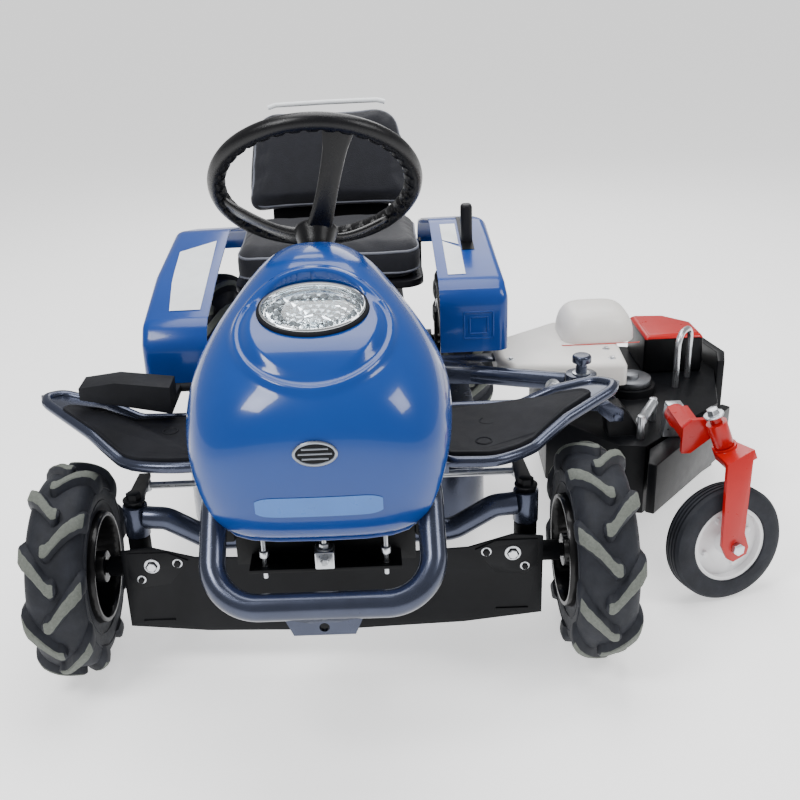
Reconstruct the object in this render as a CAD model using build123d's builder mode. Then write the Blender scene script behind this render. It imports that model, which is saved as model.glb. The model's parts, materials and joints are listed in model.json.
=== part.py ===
from build123d import *
import os
from math import sin, cos, tan, radians, sqrt

os.makedirs("parts", exist_ok=True)

# ---------------------------------------------------------------- dimensions (mm)
# X runs to the driver's left, Y runs from the nose to the tail, Z is up, z = 0 is the ground.
FRONT_TYRE_R = 201.0
FRONT_TYRE_W = 118.0
FRONT_TRACK = 970.0
REAR_TYRE_R = 215.0
REAR_TYRE_W = 150.0
REAR_TRACK = 700.0
WHEELBASE = 1150.0
KINGPIN_X = 360.0
SPINDLE_R = 12.5
RUN_CLEAR = 0.05          # radial running clearance of the turning fits
BUMPER_TUBE_D = 42.7
BUMPER_HALF = 173.0
RAIL_X = 165.0
RAIL_W = 30.0
RAIL_Z0, RAIL_Z1 = 355.0, 405.0
RAIL_Y0, RAIL_Y1 = -190.0, 1470.0
AXLE_PIVOT_Z = 318.0
GUARD_HALF = 385.0
TIE_ROD_Y, TIE_ROD_Z = 100.0, 318.0
WHEEL_TILT = 46.0         # steering wheel plane, degrees from level
STEER_D = 392.0
STEER_C = (0.0, 210.0, 863.0)
HUB_DISH = 117.0
LAMP_C = (0.0, -119.0, 728.0)
LAMP_TILT = 20.0
SEAT_HALF = 228.0
DECK_HALF = 330.0
DECK_Y0, DECK_Y1 = 300.0, 880.0
SIDE_PIVOT = (530.0, 370.0)
SIDE_TILT_X, SIDE_TILT_Z = 600.0, 318.0
CASTER_TOP = (755.0, 182.0, 370.0)
CASTER_WHEEL_C = (779.0, 143.0, 121.1)
CASTER_R = 120.5
CASTER_LEAN = 21.0

pieces = {}

# ================================================================ chassis
with BuildPart() as frame_rails:
    with BuildSketch(Plane.XY.offset(RAIL_Z0)):
        with Locations((RAIL_X, (RAIL_Y0 + RAIL_Y1) / 2), (-RAIL_X, (RAIL_Y0 + RAIL_Y1) / 2)):
            Rectangle(RAIL_W, RAIL_Y1 - RAIL_Y0)
    extrude(amount=RAIL_Z1 - RAIL_Z0)
    fillet(frame_rails.edges().filter_by(Axis.Y), 4)
pieces["frame_rails"] = frame_rails

with BuildPart() as front_cross_plate:
    inner = 2 * RAIL_X - RAIL_W
    with BuildSketch(Plane.XZ.offset(-(RAIL_Y0 + 4))):
        with Locations((0, 357)):
            Rectangle(inner, 96)
    extrude(amount=-8)
    with BuildSketch(Plane.XY.offset(322)):
        with Locations((0, -212)):
            Rectangle(250, 52)
    extrude(amount=6)
    with BuildSketch(Plane.XY.offset(320)):
        with Locations((-100, -222), (100, -222)):
            Circle(5.5)
    extrude(amount=12, mode=Mode.SUBTRACT)

with BuildPart() as pedal_bracket:
    with BuildSketch(Plane.YZ.offset(-265.5)):
        with BuildLine():
            Polyline((222, 409), (260, 409), (256, 474), (232, 474), close=True)
        make_face()
    extrude(amount=8)
    with BuildSketch(Plane.XY.offset(RAIL_Z1 - 20)):
        with Locations((-223, 241)):
            Rectangle(86, 38)
    extrude(amount=24)

with BuildPart() as seat_rails:
    with BuildSketch(Plane.XY.offset(RAIL_Z1 + 7)):
        with Locations((120, 730), (-120, 730)):
            Rectangle(40, 330)
    extrude(amount=135)

with BuildPart() as rear_plate:
    with BuildSketch(Plane.XZ.offset(-RAIL_Y1 - 0.2)):
        with Locations((0, 375)):
            Rectangle(420, 80)
    extrude(amount=-10)
    with BuildSketch(Plane.XY.offset(345)):
        with BuildLine():
            Polyline((-50, RAIL_Y1 + 5), (50, RAIL_Y1 + 5), (50, RAIL_Y1 + 70), (30, RAIL_Y1 + 90), (-30, RAIL_Y1 + 90), (-50, RAIL_Y1 + 70), close=True)
        make_face()
    extrude(amount=10)
    with BuildSketch(Plane.XY.offset(340)):
        with Locations((0, RAIL_Y1 + 60)):
            Circle(10)
    extrude(amount=30, mode=Mode.SUBTRACT)

with BuildPart() as cross_members:
    add(front_cross_plate.part)
    add(pedal_bracket.part)
    add(seat_rails.part)
    add(rear_plate.part)
    with BuildSketch(Plane.XY.offset(RAIL_Z0 + 4)):
        for y, w in ((-15, 74), (262, 44), (955, 50), (1445, 44)):
            with Locations((0, y)):
                Rectangle(2 * RAIL_X - RAIL_W, w)
    extrude(amount=RAIL_Z1 - RAIL_Z0 - 8)
    with BuildSketch(Plane.XY.offset(RAIL_Z0 - 5)):
        with Locations((80, 0)):
            Circle(10.5)
    extrude(amount=70, mode=Mode.SUBTRACT)
    # stands under the bumper tube's ends
    with BuildSketch(Plane.XY.offset(RAIL_Z1)):
        with Locations((BUMPER_HALF - 6, -150), (-BUMPER_HALF + 6, -150)):
            Rectangle(24, 56)
    extrude(amount=445 - BUMPER_TUBE_D / 2 - RAIL_Z1)
    # bridges that carry the fenders
    with BuildSketch(Plane.XY.offset(RAIL_Z1)):
        with Locations((0, 480), (0, 1090)):
            Rectangle(470, 40)
    extrude(amount=6)
    with BuildSketch(Plane.XY.offset(RAIL_Z1)):
        for y in (480, 1090):
            with Locations((232, y), (-232, y)):
                Rectangle(5.6, 40)
    extrude(amount=120)
    # guide lugs for the deck's hanger rods
    with BuildSketch(Plane.XY.offset(360)):
        for y in (400, 800):
            for s in (1, -1):
                with Locations((s * 195, y)):
                    Rectangle(29.6, 30)
        for y in (400, 800):
            with Locations((198, y), (-198, y)):
                Circle(7.4, mode=Mode.SUBTRACT)
    extrude(amount=8)
pieces["frame_crossmembers"] = cross_members

# front axle pivot: two cheeks hang from the front cross member, a pin runs through them
with BuildPart() as axle_pivot_bracket:
    with BuildSketch(Plane.XY.offset(292)):
        with Locations((0, -46), (0, 16)):
            Rectangle(34, 12)
    extrude(amount=RAIL_Z0 + 4 - 292)
    fillet(axle_pivot_bracket.edges().filter_by(Axis.Z), 2)
    with BuildSketch(Plane.XZ.offset(80)):
        with Locations((0, AXLE_PIVOT_Z)):
            Circle(10)
    extrude(amount=-130, mode=Mode.SUBTRACT)

with BuildPart() as axle_pivot_pin:
    add(axle_pivot_bracket.part)
    with BuildSketch(Plane.XZ.offset(60)):
        with Locations((0, AXLE_PIVOT_Z)):
            Circle(10)
    extrude(amount=-90)
    with BuildSketch(Plane.XZ.offset(60)):
        with Locations((0, AXLE_PIVOT_Z)):
            RegularPolygon(14, 6)
    extrude(amount=7.9)
pieces["axle_pivot"] = axle_pivot_pin

# ---------------------------------------------------------------- bumper: one bent tube
with BuildPart() as front_bumper:
    with BuildLine() as bumper_path:
        FilletPolyline(
            (-BUMPER_HALF, -112, 445), (-BUMPER_HALF, -218, 445), (-BUMPER_HALF, -352, 333),
            (BUMPER_HALF, -352, 333), (BUMPER_HALF, -218, 445), (BUMPER_HALF, -112, 445),
            radius=[58, 76, 76, 58])
    with BuildSketch(Plane(bumper_path.line @ 0, z_dir=bumper_path.line % 0)):
        Circle(BUMPER_TUBE_D / 2)
        Circle(BUMPER_TUBE_D / 2 - 3.2, mode=Mode.SUBTRACT)
    sweep(path=bumper_path.line)
    # towing tab welded under the tube
    with BuildSketch(Plane.XZ.offset(352 - 4)):
        with BuildLine():
            Polyline((-62, 316), (62, 316), (48, 282), (-48, 282), close=True)
        make_face()
    extrude(amount=8)
    with BuildSketch(Plane.XZ.offset(340)):
        with Locations((0, 296)):
            Circle(8)
    extrude(amount=30, mode=Mode.SUBTRACT)
pieces["front_bumper"] = front_bumper


# ---------------------------------------------------------------- front axle (oscillates about the pivot pin)
with BuildPart() as front_axle_beam:
    with BuildLine() as beam_path:
        FilletPolyline(
            (-KINGPIN_X + 19, -15, 312), (-300, -15, 308), (-225, -15, 262), (225, -15, 262),
            (300, -15, 308), (KINGPIN_X - 19, -15, 312), radius=[45, 60, 60, 45])
    with BuildSketch(Plane(beam_path.line @ 0, z_dir=beam_path.line % 0)):
        Circle(21)
    sweep(path=beam_path.line)
    # boss around the pivot pin
    with BuildSketch(Plane.XZ.offset(36)):
        with BuildLine():
            Polyline((-34, 262), (34, 262), (20, 318), (-20, 318), close=True)
        make_face()
        with Locations((0, AXLE_PIVOT_Z)):
            Circle(20)
    extrude(amount=-42)
    with BuildSketch(Plane.XZ.offset(60)):
        with Locations((0, AXLE_PIVOT_Z)):
            Circle(10 + RUN_CLEAR)
    extrude(amount=-90, mode=Mode.SUBTRACT)
    # kingpin sleeves
    with BuildSketch(Plane.XY.offset(270)):
        with Locations((KINGPIN_X, 0), (-KINGPIN_X, 0)):
            Circle(23)
    extrude(amount=60)
    with BuildSketch(Plane.XY.offset(260)):
        with Locations((KINGPIN_X, 0), (-KINGPIN_X, 0)):
            Circle(14 + RUN_CLEAR)
    extrude(amount=80, mode=Mode.SUBTRACT)
    # boss for the steering arm's post
    with BuildSketch(Plane.XY.offset(262)):
        with Locations((80, 0)):
            Circle(14)
    extrude(amount=69.4)
    with BuildSketch(Plane.XY.offset(284)):
        with Locations((80, 0)):
            Circle(7.5 + RUN_CLEAR)
    extrude(amount=70, mode=Mode.SUBTRACT)
pieces["front_axle_beam"] = front_axle_beam

with BuildPart() as front_guard_plate:
    with BuildSketch(Plane.XZ.offset(48)):
        with BuildLine():
            Polyline((-GUARD_HALF, 100), (-240, 84), (0, 76), (240, 84), (GUARD_HALF, 100),
                     (GUARD_HALF, 262), (330, 268), (250, 244), (120, 238), (46, 238), (46, 226),
                     (-46, 226), (-46, 238), (-120, 238), (-250, 244), (-330, 268), (-GUARD_HALF, 262),
                     close=True)
        make_face()
    extrude(amount=4)
    with BuildSketch(Plane.XZ.offset(52)):
        with Locations((330, 110), (-330, 110)):
            Rectangle(60, 5)
    extrude(amount=3)

with BuildPart() as guard_brackets:
    for s in (1, -1):
        with BuildSketch(Plane.XZ.offset(52)):
            with BuildLine():
                Polyline((s * 375, 258), (s * 375, 205), (s * 352, 186), (s * 300, 192), (s * 262, 240), (s * 300, 258), close=True)
            make_face()
        extrude(amount=3.5)

with BuildPart() as guard_bolts:
    add(front_guard_plate.part)
    add(guard_brackets.part)
    for s in (1, -1):
        for x, z, r in ((330, 232, 11), (282, 236, 7), (352, 204, 6)):
            with BuildSketch(Plane.XZ.offset(55.5)):
                with Locations((s * x, z)):
                    RegularPolygon(r, 6)
            extrude(amount=6)
pieces["front_guard_plate"] = guard_bolts

# spindle, kingpin and steering arm of each front wheel
knuckles = {}
for side, s in (("left", 1), ("right", -1)):
    with BuildPart() as knuckle:
        with BuildSketch(Plane.XY.offset(262)):
            with Locations((s * KINGPIN_X, 0)):
                Circle(14)
        extrude(amount=78)
        with BuildSketch(Plane.XY.offset(172)):
            with Locations((s * KINGPIN_X, 0)):
                Circle(21)
        extrude(amount=95)
        with BuildSketch(Plane.YZ.offset(s * (KINGPIN_X + 5))):
            with Locations((0, FRONT_TYRE_R)):
                Circle(SPINDLE_R)
        extrude(amount=s * 122)
        with BuildSketch(Plane.YZ.offset(s * (KINGPIN_X + 5))):
            with Locations((0, FRONT_TYRE_R)):
                Circle(19)
        extrude(amount=s * 58)
        with BuildSketch(Plane.XY.offset(332)):
            with BuildLine():
                Polyline((s * KINGPIN_X - 17, -12), (s * KINGPIN_X + 17, -12), (s * KINGPIN_X + 11, TIE_ROD_Y + 10),
                         (s * KINGPIN_X - 11, TIE_ROD_Y + 10), close=True)
            make_face()
        extrude(amount=8)
        with BuildSketch(Plane.XY.offset(306)):
            with Locations((s * KINGPIN_X, TIE_ROD_Y)):
                Circle(5)
        extrude(amount=30)
        with BuildSketch(Plane.YZ.offset(s * (KINGPIN_X + 127))):
            with Locations((0, FRONT_TYRE_R)):
                Circle(20)
        extrude(amount=s * 5)
        # washer and nut on top of the kingpin
        with BuildSketch(Plane.XY.offset(340)):
            with Locations((s * KINGPIN_X, 0)):
                Circle(21)
        extrude(amount=3)
        with BuildSketch(Plane.XY.offset(343)):
            with Locations((s * KINGPIN_X, 0)):
                RegularPolygon(14, 6)
        extrude(amount=12)
    pieces[f"steering_knuckle_{side}"] = knuckle

with BuildPart() as tie_rod:
    with BuildSketch(Plane.YZ.offset(-KINGPIN_X)):
        with Locations((TIE_ROD_Y, TIE_ROD_Z)):
            Circle(7)
    extrude(amount=2 * KINGPIN_X)
    with BuildSketch(Plane.XY.offset(TIE_ROD_Z - 9)):
        with Locations((KINGPIN_X, TIE_ROD_Y), (-KINGPIN_X, TIE_ROD_Y)):
            Circle(12)
    extrude(amount=18)
    with BuildSketch(Plane.XY.offset(TIE_ROD_Z - 12)):
        with Locations((80, TIE_ROD_Y)):
            Circle(4.5)
    extrude(amount=34)
    with BuildSketch(Plane.XY.offset(TIE_ROD_Z - 20)):
        with Locations((KINGPIN_X, TIE_ROD_Y), (-KINGPIN_X, TIE_ROD_Y)):
            Circle(5 + 0.4)
    extrude(amount=40, mode=Mode.SUBTRACT)
pieces["tie_rod"] = tie_rod

with BuildPart() as steering_arm:
    with BuildSketch(Plane.XY.offset(333)):
        with BuildLine():
            Polyline((64, -15), (96, -15), (92, TIE_ROD_Y + 12), (68, TIE_ROD_Y + 12), close=True)
        make_face()
        with Locations((80, TIE_ROD_Y)):
            Circle(5.2, mode=Mode.SUBTRACT)
    extrude(amount=6)
    with BuildSketch(Plane.XY.offset(284.5)):
        with Locations((80, 0)):
            Circle(7.5)
    extrude(amount=50)
    with BuildSketch(Plane.XY.offset(339)):
        with Locations((80, 0)):
            Circle(12)
    extrude(amount=6)
pieces["steering_arm"] = steering_arm


# ---------------------------------------------------------------- wheels
def tyre_profile(cx, cz, radius, width, rim_r, shoulder):
    """Half-section of a tyre, as a closed polyline in the XZ plane."""
    h = width / 2
    return Polyline((cx - h + 12, cz + rim_r), (cx + h - 12, cz + rim_r), (cx + h, cz + rim_r + 25),
                    (cx + h, cz + radius - shoulder), (cx + h * 0.82, cz + radius - 6), (cx + h * 0.4, cz + radius),
                    (cx - h * 0.4, cz + radius), (cx - h * 0.82, cz + radius - 6), (cx - h, cz + radius - shoulder),
                    (cx - h, cz + rim_r + 25), close=True)

FRONT_RIM_R = 105.0
for side, s in (("left", 1), ("right", -1)):
    cx = s * FRONT_TRACK / 2
    with BuildPart() as front_tyre:
        with BuildSketch(Plane.XZ):
            with BuildLine():
                tyre_profile(cx, FRONT_TYRE_R, FRONT_TYRE_R, FRONT_TYRE_W, FRONT_RIM_R, 20)
            make_face()
        revolve(axis=Axis((cx, 0, FRONT_TYRE_R), (1, 0, 0)))
    pieces[f"front_tyre_{side}"] = front_tyre
    with BuildPart() as front_rim:
        with BuildSketch(Plane.XZ):
            with BuildLine():
                Polyline((cx - 59, 96), (cx - 59, 103), (cx - 50, 104.9), (cx + 50, 104.9), (cx + 59, 103), (cx + 59, 96),
                         (cx + 46, 94), (cx - s * 6 + 3, 90), (cx - s * 6 + 3, 30), (cx - s * 30 + 26, 30), (cx - s * 30 + 26, SPINDLE_R + RUN_CLEAR),
                         (cx - s * 30 - 26, SPINDLE_R + RUN_CLEAR), (cx - s * 30 - 26, 30), (cx - s * 6 - 3, 34), (cx - s * 6 - 3, 90), (cx - 46, 94), close=True)
            make_face()
        revolve(axis=Axis((cx, 0, 0), (1, 0, 0)))
        with BuildSketch(Plane.YZ.offset(cx - s * 20)):
            with PolarLocations(60, 4):
                Circle(8)
        extrude(amount=s * 30, mode=Mode.SUBTRACT)
    front_rim.part.position = (0, 0, FRONT_TYRE_R)
    pieces[f"front_rim_{side}"] = front_rim

REAR_RIM_R = 118.0
for side, s in (("left", 1), ("right", -1)):
    cx = s * REAR_TRACK / 2
    with BuildPart() as rear_tyre:
        with BuildSketch(Plane.XZ.offset(-WHEELBASE)):
            with BuildLine():
                tyre_profile(cx, REAR_TYRE_R, REAR_TYRE_R, REAR_TYRE_W, REAR_RIM_R, 24)
            make_face()
        revolve(axis=Axis((cx, WHEELBASE, REAR_TYRE_R), (1, 0, 0)))
    pieces[f"rear_tyre_{side}"] = rear_tyre
    with BuildPart() as rear_rim:
        with BuildSketch(Plane.XZ):
            with BuildLine():
                Polyline((cx - 70, 106), (cx - 70, 115), (cx - 60, 117.9), (cx + 60, 117.9), (cx + 70, 115), (cx + 70, 106),
                         (cx + 56, 104), (cx + s * 12 + 3, 100), (cx + s * 12 + 3, 0), (cx + s * 12 - 3, 0), (cx + s * 12 - 3, 100), (cx - 56, 104), close=True)
            make_face()
        revolve(axis=Axis((cx, 0, 0), (1, 0, 0)))
        with BuildSketch(Plane.YZ.offset(cx + s * 12)):
            Circle(42)
        extrude(amount=-s * 55)
        with BuildSketch(Plane.YZ.offset(cx + s * 12)):
            Circle(12.5)
        extrude(amount=-s * 150)
        with BuildSketch(Plane.YZ.offset(cx + s * 12)):
            with PolarLocations(30, 5):
                RegularPolygon(9, 6)
        extrude(amount=s * 10)
    rear_rim.part.position = (0, WHEELBASE, REAR_TYRE_R)
    pieces[f"rear_rim_{side}"] = rear_rim

with BuildPart() as transaxle:
    with BuildSketch(Plane.XY.offset(135)):
        with Locations((0, WHEELBASE)):
            RectangleRounded(220, 170, 25)
    extrude(amount=160)
    with BuildSketch(Plane.YZ.offset(-262)):
        with Locations((WHEELBASE, REAR_TYRE_R)):
            Circle(28)
    extrude(amount=524)
    with BuildSketch(Plane.YZ.offset(-262)):
        with Locations((WHEELBASE, REAR_TYRE_R)):
            Circle(12.5 + RUN_CLEAR)
    extrude(amount=70, mode=Mode.SUBTRACT)
    with BuildSketch(Plane.YZ.offset(262)):
        with Locations((WHEELBASE, REAR_TYRE_R)):
            Circle(12.5 + RUN_CLEAR)
    extrude(amount=-70, mode=Mode.SUBTRACT)
    with BuildSketch(Plane.XY.offset(236)):
        with Locations((RAIL_X, WHEELBASE), (-RAIL_X, WHEELBASE)):
            Rectangle(26, 60)
    extrude(amount=RAIL_Z0 - 236)
pieces["transaxle"] = transaxle

# ================================================================ steering
n = (0, sin(radians(WHEEL_TILT)), cos(radians(WHEEL_TILT)))
wheel_plane = Plane(STEER_C, x_dir=(1, 0, 0), z_dir=n)
hub_c = tuple(STEER_C[i] - n[i] * HUB_DISH for i in range(3))
hub_plane = Plane(hub_c, x_dir=(1, 0, 0), z_dir=n)

with BuildPart() as steering_wheel_rim:
    with BuildSketch(Plane(STEER_C, x_dir=(1, 0, 0), z_dir=(0, n[2], -n[1]))):
        with Locations((STEER_D / 2 - 17, 0)):
            Circle(17)
    revolve(axis=Axis(STEER_C, n))
pieces["steering_wheel_rim"] = steering_wheel_rim

with BuildPart() as steering_wheel_hub:
    with BuildSketch(hub_plane.offset(-12)):
        Circle(34)
    extrude(amount=36)
    for ang in (47, 165, 287):
        a = radians(ang)
        r_in, r_out = 22.0, STEER_D / 2 - 20
        ax = (wheel_plane.x_dir * cos(a) + wheel_plane.y_dir * sin(a))
        p0 = Vector(*hub_c) + ax * r_in + Vector(*n) * 4
        p1 = Vector(*STEER_C) + ax * r_out - Vector(*n) * 6
        side_dir = (wheel_plane.x_dir * -sin(a) + wheel_plane.y_dir * cos(a))
        with BuildSketch(Plane(p0, x_dir=side_dir, z_dir=(p1 - p0).normalized())):
            RectangleRounded(44, 12, 5)
        extrude(amount=(p1 - p0).length)
    with BuildSketch(hub_plane.offset(-10)):
        Circle(9)
    extrude(amount=-227)
pieces["steering_wheel_hub"] = steering_wheel_hub

with BuildPart() as steering_column:
    with BuildSketch(hub_plane.offset(-20)):
        Circle(19)
        Circle(9 + 0.08, mode=Mode.SUBTRACT)
    extrude(amount=-157)

box_c = tuple(hub_c[i] - n[i] * 222 for i in range(3))
with BuildPart() as steering_gearbox:
    add(steering_column.part)
    with BuildSketch(Plane(box_c, x_dir=(1, 0, 0), z_dir=n)):
        with Locations((35, 0)):
            RectangleRounded(130, 80, 12)
    extrude(amount=44, both=True)
    with BuildSketch(Plane(box_c, x_dir=(1, 0, 0), z_dir=n).offset(-22)):
        Circle(9.08)
    extrude(amount=90, mode=Mode.SUBTRACT)
    with BuildSketch(Plane.XY.offset(RAIL_Z1)):
        with Locations((80, 0)):
            Circle(20)
    extrude(amount=190)
    # feet down to the front cross member
    with BuildSketch(Plane.XY.offset(RAIL_Z1 - 4)):
        with Locations((35, -36)):
            Rectangle(60, 24)
    extrude(amount=190)
    with BuildSketch(Plane.XY.offset(RAIL_Z1 - 20)):
        with Locations((80, 0)):
            Circle(9.08)
    extrude(amount=110, mode=Mode.SUBTRACT)
pieces["steering_column"] = steering_gearbox

with BuildPart() as steering_drop_shaft:
    with BuildSketch(Plane.XY.offset(350)):
        with Locations((80, 0)):
            Circle(9)
    extrude(amount=120)
pieces["steering_drop_shaft"] = steering_drop_shaft

# ================================================================ hood (lifts off upwards)
hood_sections = {
    -300: [(0, 430), (90, 432), (128, 455), (138, 500), (140, 545), (128, 580), (100, 600), (50, 608), (0, 610)],
    -284: [(0, 402), (122, 404), (158, 428), (180, 466), (190, 520), (190, 580), (165, 618), (80, 632), (0, 636)],
    -232: [(0, 402), (125, 408), (162, 445), (188, 490), (203, 535), (207, 590), (190, 640), (100, 668), (0, 672)],
    -130: [(0, 440), (130, 445), (172, 482), (198, 505), (216, 545), (214, 600), (188, 660), (120, 716), (0, 728)],
    -20: [(0, 470), (130, 475), (178, 492), (210, 510), (222, 548), (210, 612), (165, 684), (95, 765), (0, 792)],
    45: [(0, 480), (130, 485), (176, 498), (203, 516), (212, 552), (200, 612), (155, 682), (85, 768), (0, 794)],
}

def inset(pts, d, lift):
    """Half-outline moved inwards by d; its two lowest points move by lift, so a negative one opens the bottom."""
    out = []
    for i, (x, z) in enumerate(pts):
        a = pts[max(i - 1, 0)]
        b = pts[min(i + 1, len(pts) - 1)]
        tx, tz = b[0] - a[0], b[1] - a[1]
        length = sqrt(tx * tx + tz * tz)
        nx, nz = -tz / length, tx / length
        out.append((max(x + nx * d, 0) if 0 < i < len(pts) - 1 else 0, z + nz * d if i > 1 else z + lift))
    return out

def ring(pts):
    return pts + [(-x, z) for x, z in reversed(pts[1:-1])]

with BuildPart() as hood_shell:
    for y, pts in hood_sections.items():
        with BuildSketch(Plane.XZ.offset(-y)):
            with BuildLine():
                Polyline(*ring(pts), close=True)
            make_face()
    loft(ruled=True)
    with BuildPart(mode=Mode.PRIVATE) as hood_core:
        ys = list(hood_sections)
        core_ys = [-294, -278, -230, -130, -20, 60]
        for cy, y in zip(core_ys, ys):
            with BuildSketch(Plane.XZ.offset(-cy)):
                with BuildLine():
                    Polyline(*ring(inset(hood_sections[y], 7 if y < -290 else 5, 4 if y < -280 else -90)), close=True)
                make_face()
        loft(ruled=True)
    add(hood_core.part, mode=Mode.SUBTRACT)
    # chin flange under the nose, with the eyes for the locating pins
    with BuildSketch(Plane.XY.offset(402)):
        with Locations((0, -250)):
            Rectangle(230, 62)
    extrude(amount=4)
    lamp_plane = Plane(LAMP_C, x_dir=(1, 0, 0), z_dir=(0, -sin(radians(LAMP_TILT)), cos(radians(LAMP_TILT))))
    with BuildSketch(lamp_plane.offset(-45)):
        Ellipse(90, 68)
    extrude(amount=110, mode=Mode.SUBTRACT)
    # cut-outs in the sills where the bumper tube runs back to the frame
    with BuildSketch(Plane.XY.offset(380)):
        with Locations((BUMPER_HALF, -165), (-BUMPER_HALF, -165)):
            Rectangle(58, 212)
    extrude(amount=98, mode=Mode.SUBTRACT)
pieces["hood_shell"] = hood_shell

with BuildPart() as headlight_bezel:
    with BuildSketch(lamp_plane.offset(-12)):
        Ellipse(89.6, 67.6)
        Ellipse(79, 57, mode=Mode.SUBTRACT)
    extrude(amount=24)
    with BuildSketch(lamp_plane.offset(-45)):
        Ellipse(89.6, 67.6)
        Ellipse(86, 64, mode=Mode.SUBTRACT)
    extrude(amount=34)
pieces["headlight_bezel"] = headlight_bezel

with BuildPart() as headlight_reflector:
    with BuildSketch(lamp_plane.offset(-38)):
        Ellipse(60, 40)
    with BuildSketch(lamp_plane.offset(-13)):
        Ellipse(85, 63)
    loft()
    with BuildSketch(lamp_plane.offset(-33)):
        Ellipse(54, 34)
    with BuildSketch(lamp_plane.offset(-12.9)):
        Ellipse(81, 59)
    loft(mode=Mode.SUBTRACT)

with BuildPart() as headlight_bulb:
    with BuildSketch(lamp_plane.offset(-33)):
        Circle(11)
    extrude(amount=17)
    add(headlight_reflector.part)
pieces["headlight_reflector"] = headlight_bulb

with BuildPart() as headlight_lens:
    with BuildSketch(lamp_plane.offset(1)):
        Ellipse(78.8, 56.8)
    extrude(amount=7)
    with BuildSketch(lamp_plane.offset(8)):
        Ellipse(78.8, 56.8)
    with BuildSketch(lamp_plane.offset(15)):
        Ellipse(54, 38)
    loft()
pieces["headlight_lens"] = headlight_lens

with BuildPart() as hood_badge:
    with BuildSketch(Plane.XZ.offset(300.2)):
        Ellipse(34, 21)
    extrude(amount=5)
hood_badge.part.position = (0, 0, 567)
pieces["hood_badge"] = hood_badge

with BuildPart() as hood_pins:
    with BuildSketch(Plane.XY.offset(304)):
        with Locations((-100, -222), (100, -222)):
            Circle(4)
    extrude(amount=97.8)
    with BuildSketch(Plane.XY.offset(344)):
        with Locations((-100, -222), (100, -222)):
            Circle(8)
    extrude(amount=12)
pieces["hood_pins"] = hood_pins

# fixed cowl between the hood and the steering column
with BuildPart() as dash_cowl:
    with BuildSketch(Plane.XZ.offset(-52)):
        with BuildLine():
            Polyline((-150, 500), (150, 500), (150, 660), (84, 752), (0, 778), (-84, 752), (-150, 660), close=True)
        make_face()
    with BuildSketch(Plane.XZ.offset(-120)):
        with BuildLine():
            Polyline((-110, 500), (110, 500), (110, 640), (60, 700), (0, 712), (-60, 700), (-110, 640), close=True)
        make_face()
    loft(ruled=True)
    with BuildSketch(Plane.XZ.offset(-50)):
        with BuildLine():
            Polyline((-146, 490), (146, 490), (146, 658), (82, 748), (0, 773), (-82, 748), (-146, 658), close=True)
        make_face()
    with BuildSketch(Plane.XZ.offset(-116)):
        with BuildLine():
            Polyline((-106, 490), (106, 490), (106, 638), (58, 697), (0, 708), (-58, 697), (-106, 638), close=True)
        make_face()
    loft(ruled=True, mode=Mode.SUBTRACT)
    with BuildSketch(hub_plane.offset(40)):
        Circle(27)
    extrude(amount=-200, mode=Mode.SUBTRACT)
pieces["dash_cowl"] = dash_cowl

with BuildPart() as fuel_tank:
    with BuildSketch(Plane.XY.offset(RAIL_Z1 + 62)):
        with Locations((0, -178)):
            RectangleRounded(270, 52, 20)
    extrude(amount=110)
    with BuildSketch(Plane.XY.offset(RAIL_Z1)):
        with Locations((0, -168)):
            Rectangle(200, 44)
    extrude(amount=6)
    with BuildSketch(Plane.XY.offset(RAIL_Z1)):
        with Locations((0, -195)):
            Rectangle(200, 8)
    extrude(amount=90)
pieces["fuel_tank"] = fuel_tank

with BuildPart() as battery:
    with BuildSketch(Plane.XY.offset(RAIL_Z1 + 0.5)):
        with Locations((-85, -70)):
            Rectangle(110, 150)
    extrude(amount=125)
    with BuildSketch(Plane.XY.offset(RAIL_Z1 + 125.5)):
        with Locations((-115, -115), (-55, -115)):
            Circle(7)
    extrude(amount=14)
pieces["battery"] = battery

# ================================================================ footrests, fenders, pedal
foot_plan = {
    "left": [(205, -52), (300, -58), (352, -30), (400, 14), (545, 118), (556, 150), (522, 196), (350, 206), (205, 206)],
    "right": [(-205, -30), (-285, -32), (-352, -18), (-400, 20), (-556, 165), (-566, 198), (-535, 236), (-350, 212), (-205, 206)],
}
pad_plan = {
    "left": [(212, -34), (298, -40), (346, -14), (396, 32), (500, 112), (486, 140), (350, 172), (212, 172)],
    "right": [(-212, -14), (-287, -14), (-350, -4), (-394, 32), (-512, 136), (-500, 160), (-350, 176), (-212, 172)],
}
for side, s in (("left", 1), ("right", -1)):
    with BuildPart() as footrest:
        with BuildSketch(Plane.XZ.offset(70)):
            with BuildLine():
                Polyline((s * 190, 417), (s * 375, 417), (s * 440, 447), (s * 580, 480), (s * 580, 474),
                         (s * 441, 440), (s * 376, 409), (s * 190, 409), close=True)
            make_face()
        extrude(amount=-330)
        with BuildSketch(Plane.XY.offset(380)):
            with BuildLine():
                Polyline(*foot_plan[side], close=True)
            make_face()
        extrude(amount=140, mode=Mode.INTERSECT)
        # foot under the inner edge, bolted to the rail's side
        with BuildSketch(Plane.XY.offset(380)):
            with Locations((s * 200, 0), (s * 200, 150)):
                Rectangle(39, 40)
        extrude(amount=29.5)
    pieces[f"footrest_{side}"] = footrest
    with BuildPart() as pad:
        with BuildSketch(Plane.XZ.offset(70)):
            with BuildLine():
                Polyline((s * 190, 429), (s * 372, 429), (s * 437, 458), (s * 580, 492), (s * 580, 480.3),
                         (s * 439.5, 447.3), (s * 374.8, 417.2), (s * 190, 417.2), close=True)
            make_face()
        extrude(amount=-330)
        with BuildSketch(Plane.XY.offset(380)):
            with BuildLine():
                Polyline(*pad_plan[side], close=True)
            make_face()
        extrude(amount=140, mode=Mode.INTERSECT)
    pieces[f"footrest_pad_{side}"] = pad

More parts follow.
